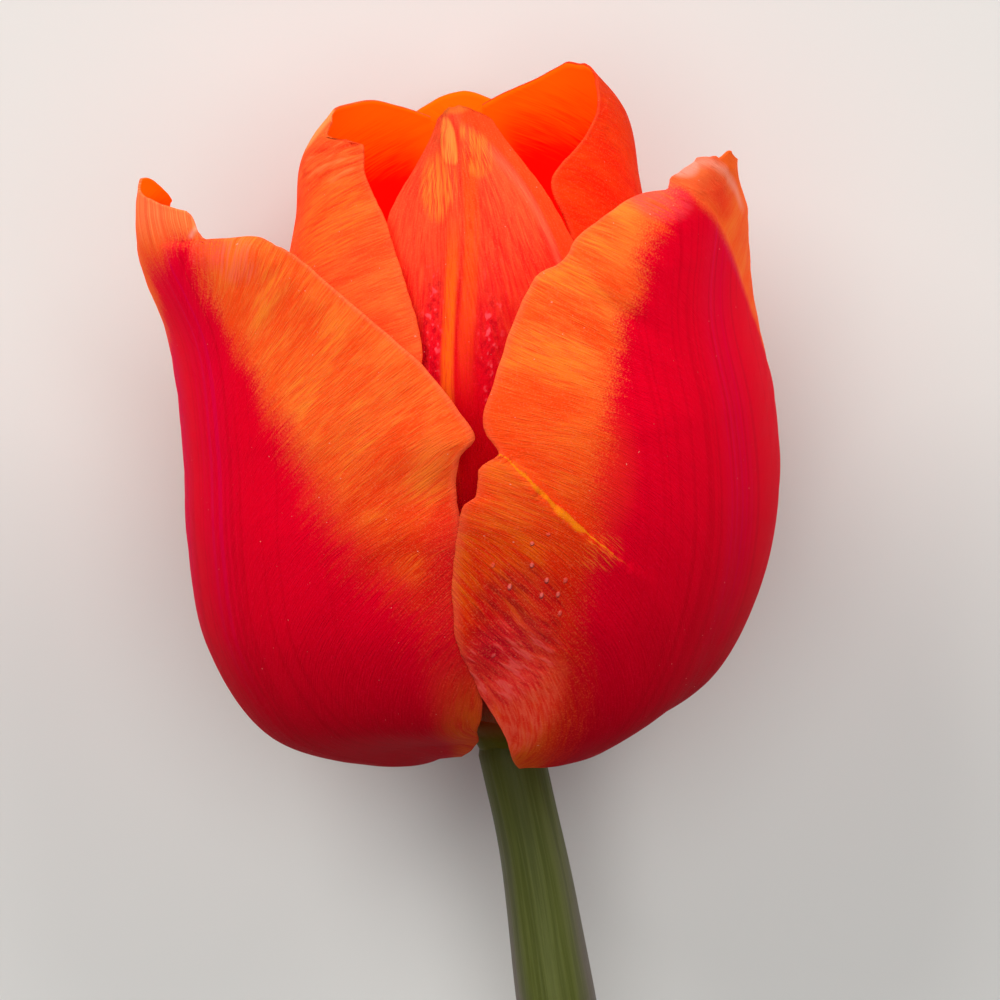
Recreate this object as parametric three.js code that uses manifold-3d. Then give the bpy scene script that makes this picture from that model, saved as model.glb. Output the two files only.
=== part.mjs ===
// A single cut tulip of the Cadance kind, lying on a table: a cup-shaped red bloom with orange margins
// on a leafy stem. Millimetres, +Z up. The bloom lies towards +Y and the stem's cut end towards -Y.
// The origin is on the table, in the middle of the flower's width and length.

import * as THREE from 'three';
import { mergeVertices } from 'three/addons/utils/BufferGeometryUtils.js';
import Module from 'manifold-3d';

// How the flower lies, in millimetres and degrees. The foot of the bloom is where the stem ends.
const footRight = - 23.5;
const footForward = 52;
const bloomFootHeight = 25;
const bloomRise = 7;
const bloomLean = 5;

// Tepals, the six petal-like leaves of the bloom
const tepalThickness = 0.7;
const tepalRows = 26;
const tepalColumns = 14;
const levelBlend = 0.12;
const seatLength = 0.15;
const tipFade = 0.2;

// Stem, with the flare under the bloom
const stemTopRadius = 4.3;
const stemNeckRadius = 2.95;
const stemFrameRadius = 4.0;
const stemFootRadius = 4.2;
const stemNeckAt = 5;
const stemThickAt = 26;
const stemSides = 20;
const stemSteps = 44;

// Receptacle, the stem's end inside the bloom, with six stamens
const receptacleRadius = 4.15;
const receptacleHeight = 3.2;
const seatGap = 0.3;
const stamenCount = 6;
const stamenRingRadius = 3.35;
const filamentRadius = 0.65;
const filamentLength = 9;
const filamentSpread = 20;
const antherRadius = 1.15;
const antherLength = 9;

// Pistil: a three-sided ovary under a three-lobed stigma
const ovaryHeight = 17;
const stigmaHeight = 4;

// Leaf, clasping the stem at its foot
const leafThickness = 0.8;
const leafRows = 30;
const leafColumns = 10;

const rad = THREE.MathUtils.degToRad;

// Smooth curve through hand-set knots [t, value, ...]; the slope at a knot follows its neighbours.
function curve( knots, t ) {

	let i = 0;
	while ( i < knots.length - 2 && t >= knots[ i + 1 ][ 0 ] ) i ++;
	const slope = ( k, n ) => {

		const a = knots[ Math.max( k - 1, 0 ) ];
		const b = knots[ Math.min( k + 1, knots.length - 1 ) ];
		return ( b[ n ] - a[ n ] ) / ( b[ 0 ] - a[ 0 ] );

	};

	const width = knots[ i + 1 ][ 0 ] - knots[ i ][ 0 ];
	const k = ( t - knots[ i ][ 0 ] ) / width;
	return knots[ i ].slice( 1 ).map( ( from, n ) => {

		const to = knots[ i + 1 ][ n + 1 ];
		return ( 2 * k ** 3 - 3 * k ** 2 + 1 ) * from + ( - 2 * k ** 3 + 3 * k ** 2 ) * to
			+ width * ( ( k ** 3 - 2 * k ** 2 + k ) * slope( i, n + 1 ) + ( k ** 3 - k ** 2 ) * slope( i + 1, n + 1 ) );

	} );

}

const value = ( knots, t ) => curve( knots, t )[ 0 ];
const clamp01 = ( x ) => THREE.MathUtils.clamp( x, 0, 1 );
const fade = ( x ) => Math.exp( - x * x );

// The six tepals. Each has a midrib (spine: t, distance out from the bloom's axis, height up it), the
// arc width of its left and right halves (t, mm), the radius of its hollow (cup: t, mm), its azimuth
// (degrees, from the side turned up, plus to the right), the t below which its section lies level
// (level), and how far its left and right halves stand off the midrib's surface (lay, plus outwards).
const outerLeft = {
	azimuth: - 66,
	level: 0.5,
	lay: [ 1.1, - 2.1 ],
	spine: [ [ 0, 5, 0.8 ], [ 0.12, 12.8, - 0.3 ], [ 0.24, 20.8, 4.5 ], [ 0.36, 26.1, 12.4 ], [ 0.48, 28.1, 21.6 ],
		[ 0.6, 27.8, 31.4 ], [ 0.73, 28, 41.4 ], [ 0.86, 30.6, 50 ], [ 1, 31.6, 57.3 ] ],
	left: [ [ 0, 4.6 ], [ 0.12, 12 ], [ 0.24, 21 ], [ 0.36, 26.5 ], [ 0.48, 29 ], [ 0.6, 28 ], [ 0.73, 22 ],
		[ 0.82, 14 ], [ 0.89, 6 ], [ 0.95, 4 ], [ 1, 1 ] ],
	right: [ [ 0, 4.6 ], [ 0.12, 10 ], [ 0.26, 22 ], [ 0.38, 25 ], [ 0.5, 27.5 ], [ 0.61, 29.2 ], [ 0.66, 27.9 ],
		[ 0.72, 22.6 ], [ 0.78, 17.4 ], [ 0.84, 14 ], [ 0.88, 10.2 ], [ 0.91, 5.6 ], [ 0.96, 3.8 ], [ 1, 2 ] ],
	cup: [ [ 0, 5.2 ], [ 0.12, 13 ], [ 0.24, 21.5 ], [ 0.36, 26.5 ], [ 0.48, 28.5 ], [ 0.6, 29 ], [ 0.73, 28.5 ],
		[ 0.84, 20 ], [ 0.9, 10 ], [ 1, 4.5 ] ],
};
const outerRight = {
	azimuth: 57,
	level: 0.5,
	lay: [ 2.2, - 0.4 ],
	spine: [ [ 0, 5, 0.8 ], [ 0.12, 12, 0.7 ], [ 0.24, 19.2, 5.5 ], [ 0.36, 24.9, 13.2 ], [ 0.48, 28.2, 21.6 ],
		[ 0.6, 28.7, 31 ], [ 0.73, 27.8, 40.8 ], [ 0.86, 28.8, 49.6 ], [ 1, 31, 55.6 ] ],
	left: [ [ 0, 4.6 ], [ 0.12, 10.5 ], [ 0.26, 22 ], [ 0.34, 28.5 ], [ 0.42, 32.5 ], [ 0.53, 32.7 ], [ 0.575, 31 ],
		[ 0.6, 28.8 ], [ 0.66, 29.3 ], [ 0.71, 27.3 ], [ 0.8, 22.3 ], [ 0.865, 14.5 ], [ 0.92, 8 ], [ 0.98, 5 ], [ 1, 1 ] ],
	right: [ [ 0, 4.6 ], [ 0.12, 11.5 ], [ 0.24, 20.5 ], [ 0.36, 26 ], [ 0.48, 29 ], [ 0.6, 28 ], [ 0.73, 22 ],
		[ 0.84, 13 ], [ 0.9, 7 ], [ 0.96, 4 ], [ 1, 0.8 ] ],
	cup: [ [ 0, 5.2 ], [ 0.12, 12.5 ], [ 0.24, 20 ], [ 0.36, 25.2 ], [ 0.48, 28 ], [ 0.6, 29 ], [ 0.73, 28 ],
		[ 0.84, 20 ], [ 0.92, 9 ], [ 1, 5 ] ],
};
const outerBack = {
	azimuth: 178,
	level: 0.5,
	lay: [ 1, - 1 ],
	spine: [ [ 0, 5, 0.8 ], [ 0.12, 13.5, - 0.8 ], [ 0.24, 21.5, 3.9 ], [ 0.36, 26.7, 11.8 ], [ 0.48, 28.6, 21.2 ],
		[ 0.6, 28.4, 31 ], [ 0.73, 27.2, 41 ], [ 0.86, 25.5, 51 ], [ 1, 25, 61 ] ],
	left: [ [ 0, 4.6 ], [ 0.12, 12 ], [ 0.24, 21 ], [ 0.36, 26.5 ], [ 0.48, 29 ], [ 0.6, 28 ], [ 0.73, 22 ],
		[ 0.85, 14 ], [ 0.94, 8 ], [ 1, 2 ] ],
	right: [ [ 0, 4.6 ], [ 0.12, 12 ], [ 0.24, 21 ], [ 0.36, 26.5 ], [ 0.48, 29 ], [ 0.6, 28 ], [ 0.73, 22 ],
		[ 0.85, 14 ], [ 0.94, 8 ], [ 1, 2 ] ],
	cup: [ [ 0, 5.2 ], [ 0.12, 13.5 ], [ 0.24, 21.5 ], [ 0.36, 26.5 ], [ 0.48, 28.5 ], [ 0.6, 28 ], [ 0.73, 25 ],
		[ 0.84, 18 ], [ 0.92, 12 ], [ 1, 9 ] ],
};
const innerFront = {
	azimuth: - 2,
	level: 1.2,
	lay: [ - 1.8, 1 ],
	spine: [ [ 0, 4.8, 3.4 ], [ 0.12, 11.6, 3.5 ], [ 0.24, 18.5, 7.8 ], [ 0.36, 22.8, 15 ], [ 0.48, 24, 23.5 ],
		[ 0.6, 22.5, 33 ], [ 0.73, 19.3, 42.5 ], [ 0.86, 14.8, 52 ], [ 1, 7, 61 ] ],
	left: [ [ 0, 3.6 ], [ 0.12, 10.5 ], [ 0.24, 17 ], [ 0.36, 19 ], [ 0.48, 19 ], [ 0.6, 15.5 ], [ 0.73, 10.8 ],
		[ 0.875, 6.8 ], [ 0.95, 4.1 ], [ 1, 1.2 ] ],
	right: [ [ 0, 4.3 ], [ 0.12, 10.5 ], [ 0.24, 18 ], [ 0.36, 22 ], [ 0.48, 23 ], [ 0.6, 20 ], [ 0.72, 15.8 ],
		[ 0.84, 10.5 ], [ 0.935, 6.3 ], [ 1, 2.4 ] ],
	cup: [ [ 0, 5 ], [ 0.12, 12 ], [ 0.24, 19 ], [ 0.36, 23 ], [ 0.48, 24 ], [ 0.6, 22 ], [ 0.73, 18 ],
		[ 0.86, 12.5 ], [ 1, 8 ] ],
};
const innerLeft = {
	azimuth: - 100,
	level: 1.2,
	lay: [ - 0.8, 1 ],
	spine: [ [ 0, 4.8, 3.4 ], [ 0.12, 11.6, 3.5 ], [ 0.24, 18.5, 7.8 ], [ 0.36, 22.8, 15 ], [ 0.48, 24, 23.5 ],
		[ 0.6, 22.5, 33 ], [ 0.73, 19.6, 42.5 ], [ 0.86, 16.9, 51.5 ], [ 0.94, 15, 57.6 ], [ 1, 11, 62 ] ],
	left: [ [ 0, 3.6 ], [ 0.12, 10.5 ], [ 0.24, 18 ], [ 0.36, 22 ], [ 0.48, 24 ], [ 0.6, 24 ], [ 0.73, 22 ],
		[ 0.85, 19.5 ], [ 0.93, 17.6 ], [ 0.97, 15.2 ], [ 1, 7.5 ] ],
	right: [ [ 0, 3.6 ], [ 0.12, 10.5 ], [ 0.24, 18.5 ], [ 0.36, 25.5 ], [ 0.48, 30.5 ], [ 0.57, 33.6 ],
		[ 0.66, 33.5 ], [ 0.77, 27.6 ], [ 0.885, 20.2 ], [ 0.94, 15.4 ], [ 0.965, 11.3 ], [ 1, 2 ] ],
	cup: [ [ 0, 5 ], [ 0.12, 12 ], [ 0.24, 19 ], [ 0.36, 23 ], [ 0.48, 24 ], [ 0.6, 22.5 ], [ 0.73, 19 ],
		[ 0.86, 15 ], [ 1, 11 ] ],
};
const innerRight = {
	azimuth: 110,
	level: 1.2,
	lay: [ - 2.5, 0.8 ],
	spine: [ [ 0, 4.8, 3.4 ], [ 0.12, 11.6, 3.5 ], [ 0.24, 18.5, 7.8 ], [ 0.36, 22.8, 15 ], [ 0.48, 24, 23.5 ],
		[ 0.6, 23, 33 ], [ 0.73, 20.3, 42.8 ], [ 0.86, 18.6, 52.5 ], [ 0.94, 17.6, 58.8 ], [ 1, 14, 63.4 ] ],
	left: [ [ 0, 3.6 ], [ 0.12, 10.5 ], [ 0.24, 18 ], [ 0.36, 22 ], [ 0.48, 24 ], [ 0.6, 24 ], [ 0.73, 23.2 ],
		[ 0.82, 22.3 ], [ 0.88, 21.7 ], [ 0.915, 17.2 ], [ 0.95, 12.5 ], [ 1, 2 ] ],
	right: [ [ 0, 3.6 ], [ 0.12, 10.5 ], [ 0.24, 18 ], [ 0.36, 22 ], [ 0.48, 24 ], [ 0.6, 24 ], [ 0.73, 22.5 ],
		[ 0.85, 19.5 ], [ 0.93, 17.8 ], [ 0.965, 15.6 ], [ 1, 7 ] ],
	cup: [ [ 0, 5 ], [ 0.12, 12 ], [ 0.24, 19 ], [ 0.36, 23 ], [ 0.48, 24 ], [ 0.6, 23 ], [ 0.73, 20 ],
		[ 0.86, 17 ], [ 1, 13 ] ],
	// the near margin turns in towards the bloom's axis below the tip
	tuck: { side: - 1, at: 0.84, width: 0.5, length: 0.14, across: 3 },
};

// A point of a tepal's middle surface in the bloom's frame: x to the right, y up the bloom's axis and
// z to the side turned up. t runs from the foot to the tip and u from the left margin to the right.
function tepalPoint( tepal, t, u ) {

	const [ spineOut, spineUp ] = curve( tepal.spine, t );
	const step = 0.001;
	const [ outAfter, upAfter ] = curve( tepal.spine, Math.min( t + step, 1 ) );
	const [ outBefore, upBefore ] = curve( tepal.spine, Math.max( t - step, 0 ) );
	const along = new THREE.Vector2( outAfter - outBefore, upAfter - upBefore ).normalize();
	const normal = new THREE.Vector2( along.y, - along.x );

	const levelShare = clamp01( ( tepal.level - t ) / levelBlend );
	const section = new THREE.Vector2( 1, 0 );
	section.lerpVectors( normal, section, levelShare ** 2 * ( 3 - 2 * levelShare ) ).normalize();

	const arc = u * value( u < 0 ? tepal.left : tepal.right, t );
	const cup = value( tepal.cup, t );
	const inward = cup * ( 1 - Math.cos( arc / cup ) );
	let across = cup * Math.sin( arc / cup );
	const lay = tepal.lay[ u < 0 ? 0 : 1 ] * Math.sin( clamp01( Math.abs( u ) / 0.75 ) * Math.PI / 2 )
		* clamp01( t / seatLength ) * clamp01( ( 1 - t ) / tipFade );
	const out = spineOut - inward * section.x + lay * normal.x;
	const up = spineUp - inward * section.y + lay * normal.y;
	if ( tepal.tuck ) {

		const { side, at, width, length } = tepal.tuck;
		across += tepal.tuck.across * fade( ( u - side ) / width ) * fade( ( t - at ) / length );

	}

	const azimuth = rad( tepal.azimuth );
	const point = new THREE.Vector3( out * Math.sin( azimuth ) + across * Math.cos( azimuth ), up,
		out * Math.cos( azimuth ) - across * Math.sin( azimuth ) );
	return restOnTable( point );

}

// The lowest tepal is pressed flat where it lies on the table.
function restOnTable( point ) {

	const height = bloomFootHeight + point.y * Math.sin( rad( bloomRise ) ) + point.z * Math.cos( rad( bloomRise ) );
	point.z += Math.max( tepalThickness / 2 - height, 0 ) / Math.cos( rad( bloomRise ) );
	return point;

}

// A closed thin blade from a grid of middle points, split into triangles alike on both faces.
function blade( rows, columns, thickness, pointAt ) {

	const stride = columns + 1;
	const middle = [];
	for ( let i = 0; i <= rows; i ++ ) {

		for ( let j = 0; j <= columns; j ++ ) middle.push( pointAt( i / rows, 2 * j / columns - 1 ) );

	}

	const at = ( i, j ) => middle[ THREE.MathUtils.clamp( i, 0, rows ) * stride + THREE.MathUtils.clamp( j, 0, columns ) ];
	const upper = [];
	const lower = [];
	for ( let i = 0; i <= rows; i ++ ) {

		for ( let j = 0; j <= columns; j ++ ) {

			const lengthwise = at( i + 1, j ).clone().sub( at( i - 1, j ) );
			const crosswise = at( i, j + 1 ).clone().sub( at( i, j - 1 ) );
			const offset = crosswise.cross( lengthwise ).setLength( thickness / 2 );
			upper.push( ...at( i, j ).clone().add( offset ).toArray() );
			lower.push( ...at( i, j ).clone().sub( offset ).toArray() );

		}

	}

	const faces = [];
	const under = middle.length;
	for ( let i = 0; i < rows; i ++ ) {

		for ( let j = 0; j < columns; j ++ ) {

			const a = i * stride + j;
			const [ b, c, d ] = [ a + 1, a + stride, a + stride + 1 ];
			faces.push( a, b, d, a, d, c );
			faces.push( under + a, under + d, under + b, under + a, under + c, under + d );

		}

	}

	const rim = [];
	for ( let j = 0; j < columns; j ++ ) rim.push( j );
	for ( let i = 0; i < rows; i ++ ) rim.push( i * stride + columns );
	for ( let j = columns; j > 0; j -- ) rim.push( rows * stride + j );
	for ( let i = rows; i > 0; i -- ) rim.push( i * stride );
	rim.forEach( ( a, k ) => {

		const b = rim[ ( k + 1 ) % rim.length ];
		faces.push( a, under + a, b, b, under + a, under + b );

	} );

	const geometry = new THREE.BufferGeometry();
	geometry.setAttribute( 'position', new THREE.Float32BufferAttribute( [ ...upper, ...lower ], 3 ) );
	geometry.setIndex( faces );
	return geometry;

}

// The stem runs from under the bloom, where it follows the bloom's axis, to its cut end on the table.
const stemPath = new THREE.CatmullRomCurve3( [
	new THREE.Vector3( 0, 0, bloomFootHeight ),
	new THREE.Vector3( 0.5, - 4, 24.5 ),
	new THREE.Vector3( 2.1, - 12, 23.5 ),
	new THREE.Vector3( 4.7, - 25, 21.9 ),
	new THREE.Vector3( 8.6, - 50, 18.8 ),
	new THREE.Vector3( 10.8, - 80, 15.1 ),
	new THREE.Vector3( 10.8, - 110, 11.4 ),
	new THREE.Vector3( 8.6, - 140, 7.7 ),
	new THREE.Vector3( 4.8, - 168, stemFootRadius * Math.cos( rad( 7 ) ) ),
] );
const stemLength = stemPath.getLength();

// Centre, direction and two cross directions of the stem at a length from its top: side is level.
function stemFrame( length ) {

	const part = clamp01( length / stemLength );
	const centre = stemPath.getPointAt( part );
	const direction = stemPath.getTangentAt( part );
	const side = new THREE.Vector3( - direction.y, direction.x, 0 ).normalize();
	const up = new THREE.Vector3().crossVectors( direction, side );
	return { centre, direction, side, up };

}

const stemRadius = ( length ) => value( [ [ 0, stemTopRadius ], [ stemNeckAt, stemNeckRadius ],
	[ stemThickAt, stemFrameRadius ], [ stemLength / 2, stemFootRadius ], [ stemLength, stemFootRadius ] ], length );

// A turned solid bent along the stem's path.
function stemGeometry() {

	const profile = [ new THREE.Vector2( 0, 0 ) ];
	for ( let i = 0; i <= stemSteps; i ++ ) {

		const length = stemLength * ( i / stemSteps ) ** 1.25;
		profile.push( new THREE.Vector2( stemRadius( length ), length ) );

	}

	profile.push( new THREE.Vector2( 0, stemLength ) );
	const geometry = new THREE.LatheGeometry( profile, stemSides );
	const position = geometry.attributes.position;
	for ( let i = 0; i < position.count; i ++ ) {

		const { centre, side, up } = stemFrame( position.getY( i ) );
		centre.addScaledVector( side, position.getX( i ) ).addScaledVector( up, - position.getZ( i ) );
		position.setXYZ( i, centre.x, centre.y, centre.z );

	}

	return geometry;

}

// The receptacle and its stamens, joined into one solid.
const wasm = await Module();
wasm.setup();

function toSolid( geometry ) {

	const bare = geometry.clone();
	bare.deleteAttribute( 'normal' );
	bare.deleteAttribute( 'uv' );
	const merged = mergeVertices( bare, 0.0001 );
	const mesh = new wasm.Mesh( {
		numProp: 3,
		vertProperties: new Float32Array( merged.attributes.position.array ),
		triVerts: new Uint32Array( merged.index.array ),
	} );
	mesh.merge();
	return new wasm.Manifold( mesh );

}

function fromSolid( solid ) {

	const mesh = solid.getMesh();
	const geometry = new THREE.BufferGeometry();
	geometry.setAttribute( 'position', new THREE.BufferAttribute( mesh.vertProperties, 3 ) );
	geometry.setIndex( new THREE.BufferAttribute( mesh.triVerts, 1 ) );
	return geometry;

}

function receptacleGeometry() {

	const top = seatGap + receptacleHeight;
	const disc = new THREE.LatheGeometry( [
		new THREE.Vector2( 0, seatGap ), new THREE.Vector2( receptacleRadius - 0.2, seatGap ),
		new THREE.Vector2( receptacleRadius, 1.2 ), new THREE.Vector2( receptacleRadius - 0.1, top - 0.4 ),
		new THREE.Vector2( receptacleRadius - 0.4, top ), new THREE.Vector2( 0, top ) ], 24 );
	let solid = toSolid( disc );
	for ( let i = 0; i < stamenCount; i ++ ) {

		const filament = new THREE.CylinderGeometry( filamentRadius * 0.7, filamentRadius, filamentLength + 2, 8, 1 );
		filament.translate( 0, filamentLength / 2 - 1, 0 );
		const anther = new THREE.SphereGeometry( 1, 10, 8 );
		anther.scale( antherRadius, antherLength / 2, antherRadius * 0.8 );
		anther.translate( 0, filamentLength - 0.5 + antherLength / 2, 0 );
		for ( const piece of [ filament, anther ] ) {

			piece.rotateZ( - rad( filamentSpread ) );
			piece.translate( stamenRingRadius, top, 0 );
			piece.rotateY( ( i + 0.5 ) * 2 * Math.PI / stamenCount );
			solid = solid.add( toSolid( piece ) );

		}

	}

	return fromSolid( solid );

}

// The pistil is turned, then drawn out to three sides, most of all at the stigma's lobes.
function pistilGeometry() {

	const foot = seatGap + receptacleHeight;
	const top = foot + ovaryHeight;
	const geometry = new THREE.LatheGeometry( [
		new THREE.Vector2( 0, foot ), new THREE.Vector2( 1.9, foot ), new THREE.Vector2( 2.5, foot + 3 ),
		new THREE.Vector2( 2.9, foot + 7 ), new THREE.Vector2( 2.8, foot + 12 ), new THREE.Vector2( 2.3, top - 1 ),
		new THREE.Vector2( 3.1, top + 0.4 ), new THREE.Vector2( 3.6, top + 1.8 ),
		new THREE.Vector2( 3.1, top + stigmaHeight - 0.8 ), new THREE.Vector2( 1.6, top + stigmaHeight - 0.3 ),
		new THREE.Vector2( 0, top + stigmaHeight - 1 ) ], 24 );
	const position = geometry.attributes.position;
	for ( let i = 0; i < position.count; i ++ ) {

		const [ x, y, z ] = [ position.getX( i ), position.getY( i ), position.getZ( i ) ];
		const lobes = Math.cos( 3 * Math.atan2( x, z ) );
		const share = y > top ? 0.3 : 0.07;
		const reach = 1 + share * lobes * clamp01( ( y - foot ) / 3 );
		position.setXYZ( i, x * reach, y, z * reach );

	}

	return geometry;

}

// The leaf sheathes the stem at its foot, then arches away to the right and down to the table.
const sheathFrom = 121;
const sheathTo = 108;
const sheathRadius = stemFootRadius + seatGap + leafThickness / 2;
const sheathTurn = new THREE.Vector2( 0.84, - 0.54 );

function sheathPoint( length ) {

	const { centre, side, up } = stemFrame( length );
	return centre.addScaledVector( side, sheathTurn.x * sheathRadius ).addScaledVector( up, sheathTurn.y * sheathRadius );

}

const leafPath = new THREE.CatmullRomCurve3( [
	sheathPoint( sheathFrom ),
	sheathPoint( ( sheathFrom + sheathTo ) / 2 ),
	sheathPoint( sheathTo ),
	new THREE.Vector3( 20.5, - 93, 8.2 ),
	new THREE.Vector3( 29.5, - 78.5, 4.8 ),
	new THREE.Vector3( 40, - 64.5, 1.6 ),
	new THREE.Vector3( 54, - 53.5, - 0.4 ),
	new THREE.Vector3( 68, - 46, 0.6 ),
	new THREE.Vector3( 81, - 42, 4.5 ),
] );
const leafWidth = [ [ 0, 6 ], [ 0.1, 7 ], [ 0.22, 8.8 ], [ 0.32, 12.6 ], [ 0.44, 15.2 ], [ 0.6, 15.4 ], [ 0.78, 11.6 ], [ 0.92, 5.4 ], [ 1, 0.8 ] ];
const leafCup = [ [ 0, sheathRadius ], [ 0.12, sheathRadius ], [ 0.26, 9 ], [ 0.42, 15 ], [ 0.62, 19 ], [ 1, 8 ] ];

function leafPoint( t, u ) {

	const centre = leafPath.getPointAt( t );
	const direction = leafPath.getTangentAt( t );
	const turned = THREE.MathUtils.smoothstep( t, 0.08, 0.42 );
	const { side, up } = stemFrame( sheathFrom );
	const open = side.multiplyScalar( - sheathTurn.x ).addScaledVector( up, - sheathTurn.y );
	open.lerp( new THREE.Vector3( 0.05, 0, 1 ), turned );
	open.addScaledVector( direction, - open.dot( direction ) ).normalize();
	const across = new THREE.Vector3().crossVectors( direction, open );
	const cup = value( leafCup, t );
	const arc = u * value( leafWidth, t );
	const wave = 0.9 * turned * u ** 2 * Math.sin( 13 * t + ( u > 0 ? 1.2 : 0 ) );
	centre.addScaledVector( across, cup * Math.sin( arc / cup ) );
	centre.addScaledVector( open, cup * ( 1 - Math.cos( arc / cup ) ) + wave );
	centre.z = Math.max( centre.z, leafThickness / 2 );
	return centre;

}

const material = ( colour, roughness ) => new THREE.MeshStandardMaterial( { color: colour, roughness, metalness: 0 } );
const outerRed = material( 0xc8102a, 0.5 );
const innerRed = material( 0xe83a1c, 0.5 );
const stemGreen = material( 0x6d7d4a, 0.55 );
const leafGreen = material( 0x4f7a4a, 0.5 );
const stamenDark = material( 0x2a1c34, 0.7 );
const pistilGreen = material( 0xc9cf8a, 0.5 );

function part( name, geometry, look ) {

	const mesh = new THREE.Mesh( geometry, look );
	mesh.name = name;
	return mesh;

}

const tepal = ( name, shape, look ) =>
	part( name, blade( tepalRows, tepalColumns, tepalThickness, ( t, u ) => tepalPoint( shape, t, u ) ), look );

const bloom = new THREE.Group();
bloom.position.set( 0, 0, bloomFootHeight );
bloom.rotation.set( rad( bloomRise ), 0, rad( bloomLean ), 'ZYX' );
bloom.add( tepal( 'outer_tepal_left', outerLeft, outerRed ) );
bloom.add( tepal( 'outer_tepal_right', outerRight, outerRed ) );
bloom.add( tepal( 'outer_tepal_back', outerBack, outerRed ) );
bloom.add( tepal( 'inner_tepal_front', innerFront, innerRed ) );
bloom.add( tepal( 'inner_tepal_left', innerLeft, innerRed ) );
bloom.add( tepal( 'inner_tepal_right', innerRight, innerRed ) );
bloom.add( part( 'receptacle_with_stamens', receptacleGeometry(), stamenDark ) );
bloom.add( part( 'pistil', pistilGeometry(), pistilGreen ) );

const tulip = new THREE.Group();
tulip.position.set( footRight, footForward, 0 );
tulip.add( bloom );
tulip.add( part( 'stem', stemGeometry(), stemGreen ) );
tulip.add( part( 'leaf', blade( leafRows, leafColumns, leafThickness, leafPoint ), leafGreen ) );

export default tulip;
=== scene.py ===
import functools
import math

import bpy
from mathutils import Matrix, Vector, noise


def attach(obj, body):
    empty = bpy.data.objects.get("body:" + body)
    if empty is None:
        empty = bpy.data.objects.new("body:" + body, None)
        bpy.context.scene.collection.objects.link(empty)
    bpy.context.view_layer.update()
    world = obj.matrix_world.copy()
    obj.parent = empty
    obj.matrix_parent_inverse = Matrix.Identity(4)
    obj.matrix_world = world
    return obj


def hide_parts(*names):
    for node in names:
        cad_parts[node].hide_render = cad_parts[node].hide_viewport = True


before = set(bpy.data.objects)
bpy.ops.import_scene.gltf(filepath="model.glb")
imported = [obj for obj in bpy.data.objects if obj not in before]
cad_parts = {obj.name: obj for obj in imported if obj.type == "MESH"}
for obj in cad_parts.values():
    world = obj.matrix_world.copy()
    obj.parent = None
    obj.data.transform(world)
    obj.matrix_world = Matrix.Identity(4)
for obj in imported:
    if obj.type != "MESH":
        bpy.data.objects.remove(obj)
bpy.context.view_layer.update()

mm = 0.001


# Curves and small sums

def clamp01(value):
    return min(max(value, 0), 1)


def fade(value):  # 1 in the middle, nearly 0 past 2
    return math.exp(-value * value)


def ease(value, low, high):  # 0 below low, 1 above high, smooth between
    share = clamp01((value - low) / (high - low))
    return share * share * (3 - 2 * share)


def slopeAt(knots, k, n):
    before = knots[max(k - 1, 0)]
    after = knots[min(k + 1, len(knots) - 1)]
    return (after[n] - before[n]) / (after[0] - before[0])


def curve(knots, t):  # smooth curve through given knots (t, value, ...)
    i = 0
    while i < len(knots) - 2 and t >= knots[i + 1][0]:
        i += 1
    width = knots[i + 1][0] - knots[i][0]
    k = (t - knots[i][0]) / width
    values = []
    for n in range(1, len(knots[0])):
        fromValue = (2 * k ** 3 - 3 * k ** 2 + 1) * knots[i][n]
        toValue = (3 * k ** 2 - 2 * k ** 3) * knots[i + 1][n]
        bend = (k ** 3 - 2 * k ** 2 + k) * slopeAt(knots, i, n) + (k ** 3 - k ** 2) * slopeAt(knots, i + 1, n)
        values.append(fromValue + toValue + width * bend)
    return values


def value(knots, t):
    return curve(knots, t)[0]


def grain(x, y, seed):  # soft noise from -1 to 1
    return noise.noise(Vector((x, y, seed * 7.3)))


# Shader sums: a wire is an output socket that can be added, multiplied and eased

def operator(operation, swapped=False):
    def apply(self, *others):
        return self.sum(operation, *((*others, self) if swapped else (self, *others)))
    return apply


class Wire:
    def __init__(self, finish, socket):
        self.finish = finish
        self.socket = socket

    def out(self, name):
        return Wire(self.finish, self.socket.node.outputs[name])

    def sum(self, operation, *values):
        return self.finish.add("ShaderNodeMath", {"operation": operation}, dict(enumerate(values)))

    def ease(self, low, high):  # 0 at low, 1 at high, smooth between
        smooth = {"interpolation_type": "SMOOTHSTEP"}
        return self.finish.add("ShaderNodeMapRange", smooth, {0: self, 1: low, 2: high})

    def strip(self, centre, half, soft):  # 1 within half of the centre
        return abs(self - centre).ease(half + soft, half - soft)

    __add__, __radd__ = operator("ADD"), operator("ADD", True)
    __sub__, __rsub__ = operator("SUBTRACT"), operator("SUBTRACT", True)
    __mul__, __rmul__ = operator("MULTIPLY"), operator("MULTIPLY", True)
    __truediv__, __rtruediv__ = operator("DIVIDE"), operator("DIVIDE", True)
    __pow__, __abs__ = operator("POWER"), operator("ABSOLUTE")


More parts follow.
